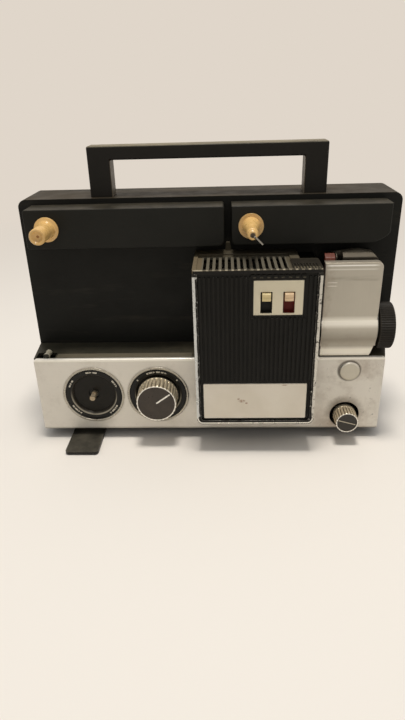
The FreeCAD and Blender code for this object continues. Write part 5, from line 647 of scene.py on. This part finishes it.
def prism(name, axis, outline, low, high, finish, body, slot, **extra):
    """Gives an outline across the axis its thickness from low to high."""
    side, up, along = AXES[axis]
    verts = [P(0, 0, 0) + (side * a + up * b + along * t) * MM for t in (low, high) for a, b in outline]
    count = len(outline)
    faces = [tuple(range(count)), tuple(range(count, 2 * count))]
    faces += [(i, (i + 1) % count, (i + 1) % count + count, i + count) for i in range(count)]
    return piece(name, verts, faces, finish, body, slot, **extra)


# Knobs
RIDGE_STEPS = 8
RING_RIDGE = 0.34


def ridged(count, depth, first, last):
    """Round ridges along a turned side, between two points of its profile."""
    def ripple(step, i):
        if not first <= i <= last:
            return 0.0
        wave = 0.5 - 0.5 * math.cos(2 * math.pi * step / RIDGE_STEPS)
        return depth * (wave ** 2.2)
    return count * RIDGE_STEPS, ripple


def add_knob(name, node, body, face, base, rim, ridges, depth, finish, face_finish, back=-0.95):
    """A ridged knob: face and base are its radii, rim the width of its bright rim, back where it ends."""
    at = Place(node)
    centre, front = P(at.x, 0, at.z), at.front
    steps, ripple = ridged(ridges, depth, 5, 9)
    lathe(name, "Y", centre,
          [(0, back), (base - 0.3, back), (base + 0.05, -1.2), (base + 0.05, -2.0), (base - 0.05, -2.25),
           (base - 0.1, -2.6), (face + 0.05, front + 2.4), (face + 0.02, front + 2.0),
           (face + 0.02, front + 1.2), (face, front + 0.55), (face - 0.3, front + 0.12), (face - 0.6, front),
           (face - rim + 0.3, front), (face - rim, front + 0.25), (face - rim, front + 0.9),
           (0, front + 0.9)],
          finish, body, "knob_silver", steps, ripple, replaces=(node,))
    steps, ripple = ridged(ridges, RING_RIDGE, 0, 1)
    lathe(name + "_ring", "Y", centre,
          [(face - 0.28, front + 0.06), (face - 0.4, front - 0.06), (face - rim + 0.35, front - 0.06),
           (face - rim + 0.2, front + 0.05)], "rim_bright", body, "knob_silver", steps, ripple)
    lathe(name + "_face", "Y", centre,
          [(0, front + 0.55), (face * 0.35, front + 0.5), (face * 0.7, front + 0.42),
           (face - rim - 0.15, front + 0.38), (face - rim - 0.05, front + 0.6)],
          face_finish, body, "dial_black", 96)


def turned(points, degrees, x, z):
    """Points turned about the origin, then moved to x and z."""
    a = math.radians(degrees)
    return [(x + px * math.cos(a) - pz * math.sin(a), z + px * math.sin(a) + pz * math.cos(a))
            for px, pz in points]


def add_pointer(name, at, y, degrees, start, end, width, finish, body):
    """A raised line with a pointed end on a knob's face."""
    half = width / 2
    outline = [(start, -half), (end - half, -half), (end, 0), (end - half, half), (start, half)]
    prism(name, "Y", turned(outline, degrees, at.x, at.z), y - 0.18, y + 0.1, finish, body, "cream_plate",
          bevel=0.06)


# Dials
DIAL_BORE, DIAL_FLOOR, DIAL_RIM = 4.7, 2.75, 23.25
DIAL_STEPS = 144
MARK_RADIUS, MARK_FRONT = 20.9, -0.47


def add_dial(name, at, node):
    """A black dial with a sunk floor, an inner lip and a silver bezel."""
    centre = P(at.x, 0, at.z)
    lathe(name, "Y", centre,
          [(DIAL_BORE, DIAL_FLOOR), (17.2, DIAL_FLOOR), (17.9, 2.4), (18.1, 1.6), (18.6, 0.3), (19.0, -0.05),
           (19.6, -0.28), (21.4, -0.42), (22.6, -0.34), (23.1, -0.05), (DIAL_RIM, 0.6), (DIAL_RIM, 4.1),
           (DIAL_BORE, 4.1), (DIAL_BORE, DIAL_FLOOR)],
          "dial_black", "case", "dial_black", DIAL_STEPS, replaces=(node,))
    lathe(name + "_floor", "Y", centre,
          [(DIAL_BORE + 0.05, DIAL_FLOOR - 0.03), (5.6, 2.62), (16.4, 2.62), (17.0, 2.7)],
          "dial_floor", "case", "dial_black", DIAL_STEPS)
    lathe(name + "_ring", "Y", centre,
          [(17.0, 2.6), (17.3, 1.9), (18.1, 0.7), (18.6, 0.0), (18.9, -0.15), (19.15, -0.1), (19.1, 0.4),
           (18.0, 2.0), (17.0, 2.6)],
          "inner_ring", "case", "silver_trim", DIAL_STEPS)
    lathe(name + "_bezel", "Y", centre,
          [(DIAL_RIM + 0.1, 0.1), (23.4, -0.5), (23.7, -0.8), (24.2, -0.9), (24.8, -0.75), (25.15, -0.4),
           (25.2, 0.05), (DIAL_RIM + 0.1, 0.1)],
          "bezel_silver", "case", "silver_trim", DIAL_STEPS)


def bar(x, width, height=1.35):
    """The outline of a printed bar that starts at x."""
    return [(x, -height / 2), (x + width, -height / 2), (x + width, height / 2), (x, height / 2)]


def arrow(x, width, height=1.7):
    """The outline of a printed triangle that starts at x."""
    return [(x, -height / 2), (x + width, 0), (x, height / 2)]


def add_marks(name, at, groups):
    """Small printed signs that follow a dial's ring: each group is an angle and a list of shapes."""
    verts, faces = [], []
    for degrees, shapes in groups:
        upright = -1 if math.sin(math.radians(degrees)) >= -0.05 else 1
        for shape in shapes:
            first = len(verts)
            for across, up in shape:
                angle = math.radians(degrees) + upright * across / MARK_RADIUS
                reach = MARK_RADIUS - upright * up
                verts.append(P(at.x + reach * math.cos(angle), MARK_FRONT, at.z + reach * math.sin(angle)))
            faces.append(tuple(range(first, first + len(shape))))
    piece(name, verts, faces, "mark_white", "case", "cream_plate")


add_dial("selector_ring", SELECTOR, "selector_dial")
add_dial("speed_ring", SPEED, "speed_dial")
add_knob("speed_grip", "speed_knob", "speed", SPEED_FACE, 16.5, 1.45, 30, SPEED_RIDGE, "speed_silver",
         "knob_face")
add_pointer("speed_pointer", SPEED, -14.6, 36.0, 0.0, 14.0, 1.2, "rim_bright", "speed")
add_knob("framing_grip", "framing_knob", "framing", FRAMING_FACE, 9.2, 1.3, 22, FRAMING_RIDGE,
         "framing_silver", "slot_face", 2.4)
add_pointer("framing_pointer", FRAMING, -12.55, -16.0, -7.2, 7.2, 0.75, "line_brown", "framing")
add_marks("selector_marks", SELECTOR, [
    (90, [bar(-4.6, 2.6), arrow(-1.4, 1.9), bar(1.2, 3.4)]),
    (150, [bar(-3.2, 2.2), arrow(-0.4, 1.8), bar(1.9, 2.0)]),
    (30, [bar(-3.4, 2.6), bar(-0.2, 1.2), arrow(1.8, 1.8)]),
    (221, [bar(-5.0, 2.2), bar(-2.2, 3.2), arrow(1.6, 1.8), bar(3.8, 1.4)]),
    (319, [arrow(-5.0, 1.8), bar(-2.6, 3.4), bar(1.4, 1.2), bar(3.2, 1.8)]),
])
add_marks("speed_marks", SPEED, [
    (90, [bar(-8.6, 1.4), bar(-6.6, 3.0), arrow(-3.0, 1.9), bar(-0.4, 3.0), bar(3.4, 2.2), arrow(6.4, 1.9)]),
    (140, [bar(-0.6, 1.2)]), (40, [bar(-0.6, 1.2)]),
])

# Focus ring
RING_TEETH, RING_TOOTH = 60, (0.0, 0.275, 0.55, 0.275)


def knurl(step, i):
    """Fine teeth along the side of the focus ring."""
    return RING_TOOTH[step % len(RING_TOOTH)] if 4 <= i <= 7 else 0.0


lathe("focus_grip", "X", P(0, FOCUS.y, FOCUS.z),
      [(12.75, 134.4), (12.75, 131.8), (17.3, 131.8), (18.0, 132.2), (18.2, 132.7), (18.2, 133.1),
       (18.2, 142.3), (18.2, 142.7), (18.0, 143.2), (17.3, 143.6), (15.4, 143.6), (14.9, 143.3),
       (13.4, 140.4), (11.4, 138.6), (10.5, 138.0), (10.5, 134.4), (12.75, 134.4)],
      "ring_rubber", "focus", "ring_rubber", RING_TEETH * len(RING_TOOTH), knurl, replaces=("focus_ring",))

# Exit roller
roller_front, roller_back = ROLLER.front + 0.4, ROLLER.back - 0.4
lathe("exit_wheel", "Y", P(ROLLER.x, 0, ROLLER.z),
      [(0, roller_front + 0.6), (1.2, roller_front + 0.6), (1.3, roller_front), (2.3, roller_front),
       (2.6, roller_front + 0.3), (2.6, roller_front + 1.0), (2.2, roller_front + 1.5),
       (2.2, roller_back - 1.5), (2.6, roller_back - 1.0), (2.6, roller_back - 0.3), (2.3, roller_back),
       (0, roller_back)],
      "roller_white", "film_exit", "white_plastic", 48, replaces=("exit_roller",))

# Switch caps
CAP_SIDE, CAP_END = 0.75, 0.35


def add_cap(name, node, body, finish):
    """A slide cap a little slimmer than its slot, with a shallow dish for the fingertip."""
    at = Place(node)
    front, top, bottom = at.front, at.top - CAP_END, at.low + CAP_END
    dish = [(front + 0.9, bottom), (front + 0.25, bottom + 0.4), (front, bottom + 1.1),
            (front + 0.45, bottom + 2.6), (front + 0.62, (bottom + top) / 2), (front + 0.45, top - 2.6),
            (front, top - 1.1), (front + 0.25, top - 0.4), (front + 0.9, top), (at.back, top),
            (at.back, bottom)]
    prism(name, "X", dish, at.left + CAP_SIDE, at.right - CAP_SIDE, finish, body, finish, bevel=0.25,
          sharp=50, replaces=(node,))


add_cap("lamp_slide", "lamp_switch_cap", "lamp_switch", "ivory_cap")
add_cap("motor_slide", "motor_switch_cap", "motor_switch", "pink_cap")

# Take-up spindle with a rolled tip
lathe("takeup_nub", "Y", P(TAKEUP.x, 0, TAKEUP.z),
      [(0, -9.2), (1.2, -9.3), (2.6, -9.7), (3.5, -10.5), (4.1, -11.3), (4.9, -11.5), (5.6, -11.2),
       (6.0, -10.5), (6.0, 3.0), (6.1, 6.0), (6.4, 8.6), (6.9, 10.2), (7.6, 10.8), (8.7, 11.0),
       (9.15, 11.3), (9.2, 12.1), (8.9, 12.4), (0, 12.4)],
      "cream_spindle", "takeup_reel_spindle", "cream_spindle", 96, replaces=("takeup_spindle",))
# Painted shade: the pip in the tip's dimple wears a darker copy of the cream
lathe("takeup_pip", "Y", P(TAKEUP.x, 0, TAKEUP.z), [(0, -9.55), (0.7, -9.5), (1.1, -9.2)],
      "cream_shaded", "takeup_reel_spindle", "cream_spindle", 24)

# Carrying handle
under, foot = HANDLE.top - HANDLE_BAR, HANDLE.low - HANDLE_SUNK
left_post, right_post = HANDLE.left + HANDLE_POST, HANDLE.right - HANDLE_POST
prism("handle_bow", "Y",
      [(HANDLE.left, foot), (left_post, foot), (left_post, under), (right_post, under), (right_post, foot),
       (HANDLE.right, foot), (HANDLE.right, HANDLE.top), (HANDLE.left, HANDLE.top)],
      HANDLE.front, HANDLE.back, "handle_black", "case", "handle_black", bevel=1.4,
      replaces=("carry_handle",))

# Camera: its place and turn, in radians, and its focal length in pixels of the photograph's frame
CAMERA_AT = P(16.0, -399.3, 258.5)
PITCH, YAW, ROLL = 0.4528, -0.049, -0.030
FOCAL_PIXELS, IMAGE_HEIGHT = 560.0, 720.0
SENSOR = 36.0

# Floor, backdrop and light, in metres and watts
WALL_COLOUR = srgb(224, 214, 202)
FLOOR_COLOUR = srgb(238, 231, 221)
FLOOR_HALF = 8.0
FADE_FROM, FADE_TO = 0.30, 1.00
SKY_COLOUR = (0.97, 0.985, 1.0, 1.0)
SKY_LEVEL, SKY_TOP = 0.06, 0.72
KEY_AT, KEY_AIM = Vector((0.02, -0.10, 1.5)), Vector((0.0, -0.02, 0.0))
KEY_SIZE, KEY_POWER, KEY_COLOUR = (0.3, 0.24), 13.4, (1.0, 0.965, 0.92)


def add_camera():
    """Looks at the object from where the photograph was taken."""
    ahead = Vector((math.sin(YAW) * math.cos(PITCH), math.cos(YAW) * math.cos(PITCH), -math.sin(PITCH)))
    level = Vector((math.cos(YAW), -math.sin(YAW), 0))
    over = level.cross(ahead)
    right = math.cos(ROLL) * level + math.sin(ROLL) * over
    up = -math.sin(ROLL) * level + math.cos(ROLL) * over
    data = bpy.data.cameras.new("camera")
    data.sensor_width = SENSOR
    data.lens = SENSOR * FOCAL_PIXELS / IMAGE_HEIGHT
    data.clip_start, data.clip_end = 0.01, 50.0
    camera = bpy.data.objects.new("camera", data)
    turn = Matrix((right, up, -ahead)).transposed()
    camera.matrix_world = Matrix.Translation(CAMERA_AT) @ turn.to_4x4()
    bpy.context.scene.collection.objects.link(camera)
    bpy.context.scene.camera = camera


def seen(n):
    """1 for rays from the camera, off a shiny surface or through glass."""
    rays = n.add("ShaderNodeLightPath").outputs
    return n.larger(n.larger(rays["Is Camera Ray"], rays["Is Glossy Ray"]), rays["Is Transmission Ray"])


def add_floor():
    """A pale floor that takes the object's shadow and fades into the backdrop's colour far away."""
    mesh = bpy.data.meshes.new("floor")
    corners = [(x * FLOOR_HALF, y * FLOOR_HALF, 0) for x, y in ((-1, -1), (1, -1), (1, 1), (-1, 1))]
    mesh.from_pydata(corners, [], [(0, 1, 2, 3)])
    floor = bpy.data.objects.new("floor", mesh)
    bpy.context.scene.collection.objects.link(floor)
    material = bpy.data.materials.new("floor_pale")
    material.use_nodes = True
    mesh.materials.append(material)
    n = Nodes(material.node_tree)
    shader = n.tree.nodes["Principled BSDF"]
    shader.inputs["Base Color"].default_value = FLOOR_COLOUR
    shader.inputs["Roughness"].default_value = 0.9
    shader.inputs["Specular IOR Level"].default_value = 0.1
    far = n.add("ShaderNodeVectorMath", {0: n.where["Object"]}, operation="LENGTH").outputs["Value"]
    fade = n.times(n.remap(far, FADE_FROM, FADE_TO), seen(n))
    plain = n.add("ShaderNodeEmission", {"Color": WALL_COLOUR, "Strength": 1.0})
    blend = n.add("ShaderNodeMixShader", {0: fade, 1: shader.outputs[0], 2: plain.outputs[0]})
    n.feed(n.tree.nodes["Material Output"].inputs["Surface"], blend.outputs[0])


def add_world():
    """A plain backdrop for what is seen, and a soft sky, brightest overhead, for the light."""
    world = bpy.data.worlds.new("studio")
    bpy.context.scene.world = world
    world.use_nodes = True
    n = Nodes(world.node_tree)
    sky = n.tree.nodes["Background"]
    up = n.add("ShaderNodeSeparateXYZ", {0: n.where["Generated"]}).outputs["Z"]
    n.feed(sky.inputs["Strength"], n.remap(up, -0.1, 1.0, SKY_LEVEL, SKY_TOP))
    sky.inputs["Color"].default_value = SKY_COLOUR
    plain = n.add("ShaderNodeBackground", {"Color": WALL_COLOUR, "Strength": 1.0})
    blend = n.add("ShaderNodeMixShader", {0: seen(n), 1: sky.outputs[0], 2: plain.outputs[0]})
    n.feed(n.tree.nodes["World Output"].inputs["Surface"], blend.outputs[0])


def add_key():
    """One soft lamp high above the object and a little in front of it."""
    data = bpy.data.lights.new("key", "AREA")
    data.shape = "RECTANGLE"
    data.size, data.size_y = KEY_SIZE
    data.energy = KEY_POWER
    data.color = KEY_COLOUR
    lamp = bpy.data.objects.new("key", data)
    lamp.location = KEY_AT
    lamp.rotation_euler = (KEY_AIM - KEY_AT).to_track_quat("-Z", "Y").to_euler()
    bpy.context.scene.collection.objects.link(lamp)


add_camera()
add_floor()
add_world()
add_key()
bpy.context.scene.view_settings.view_transform = "Standard"
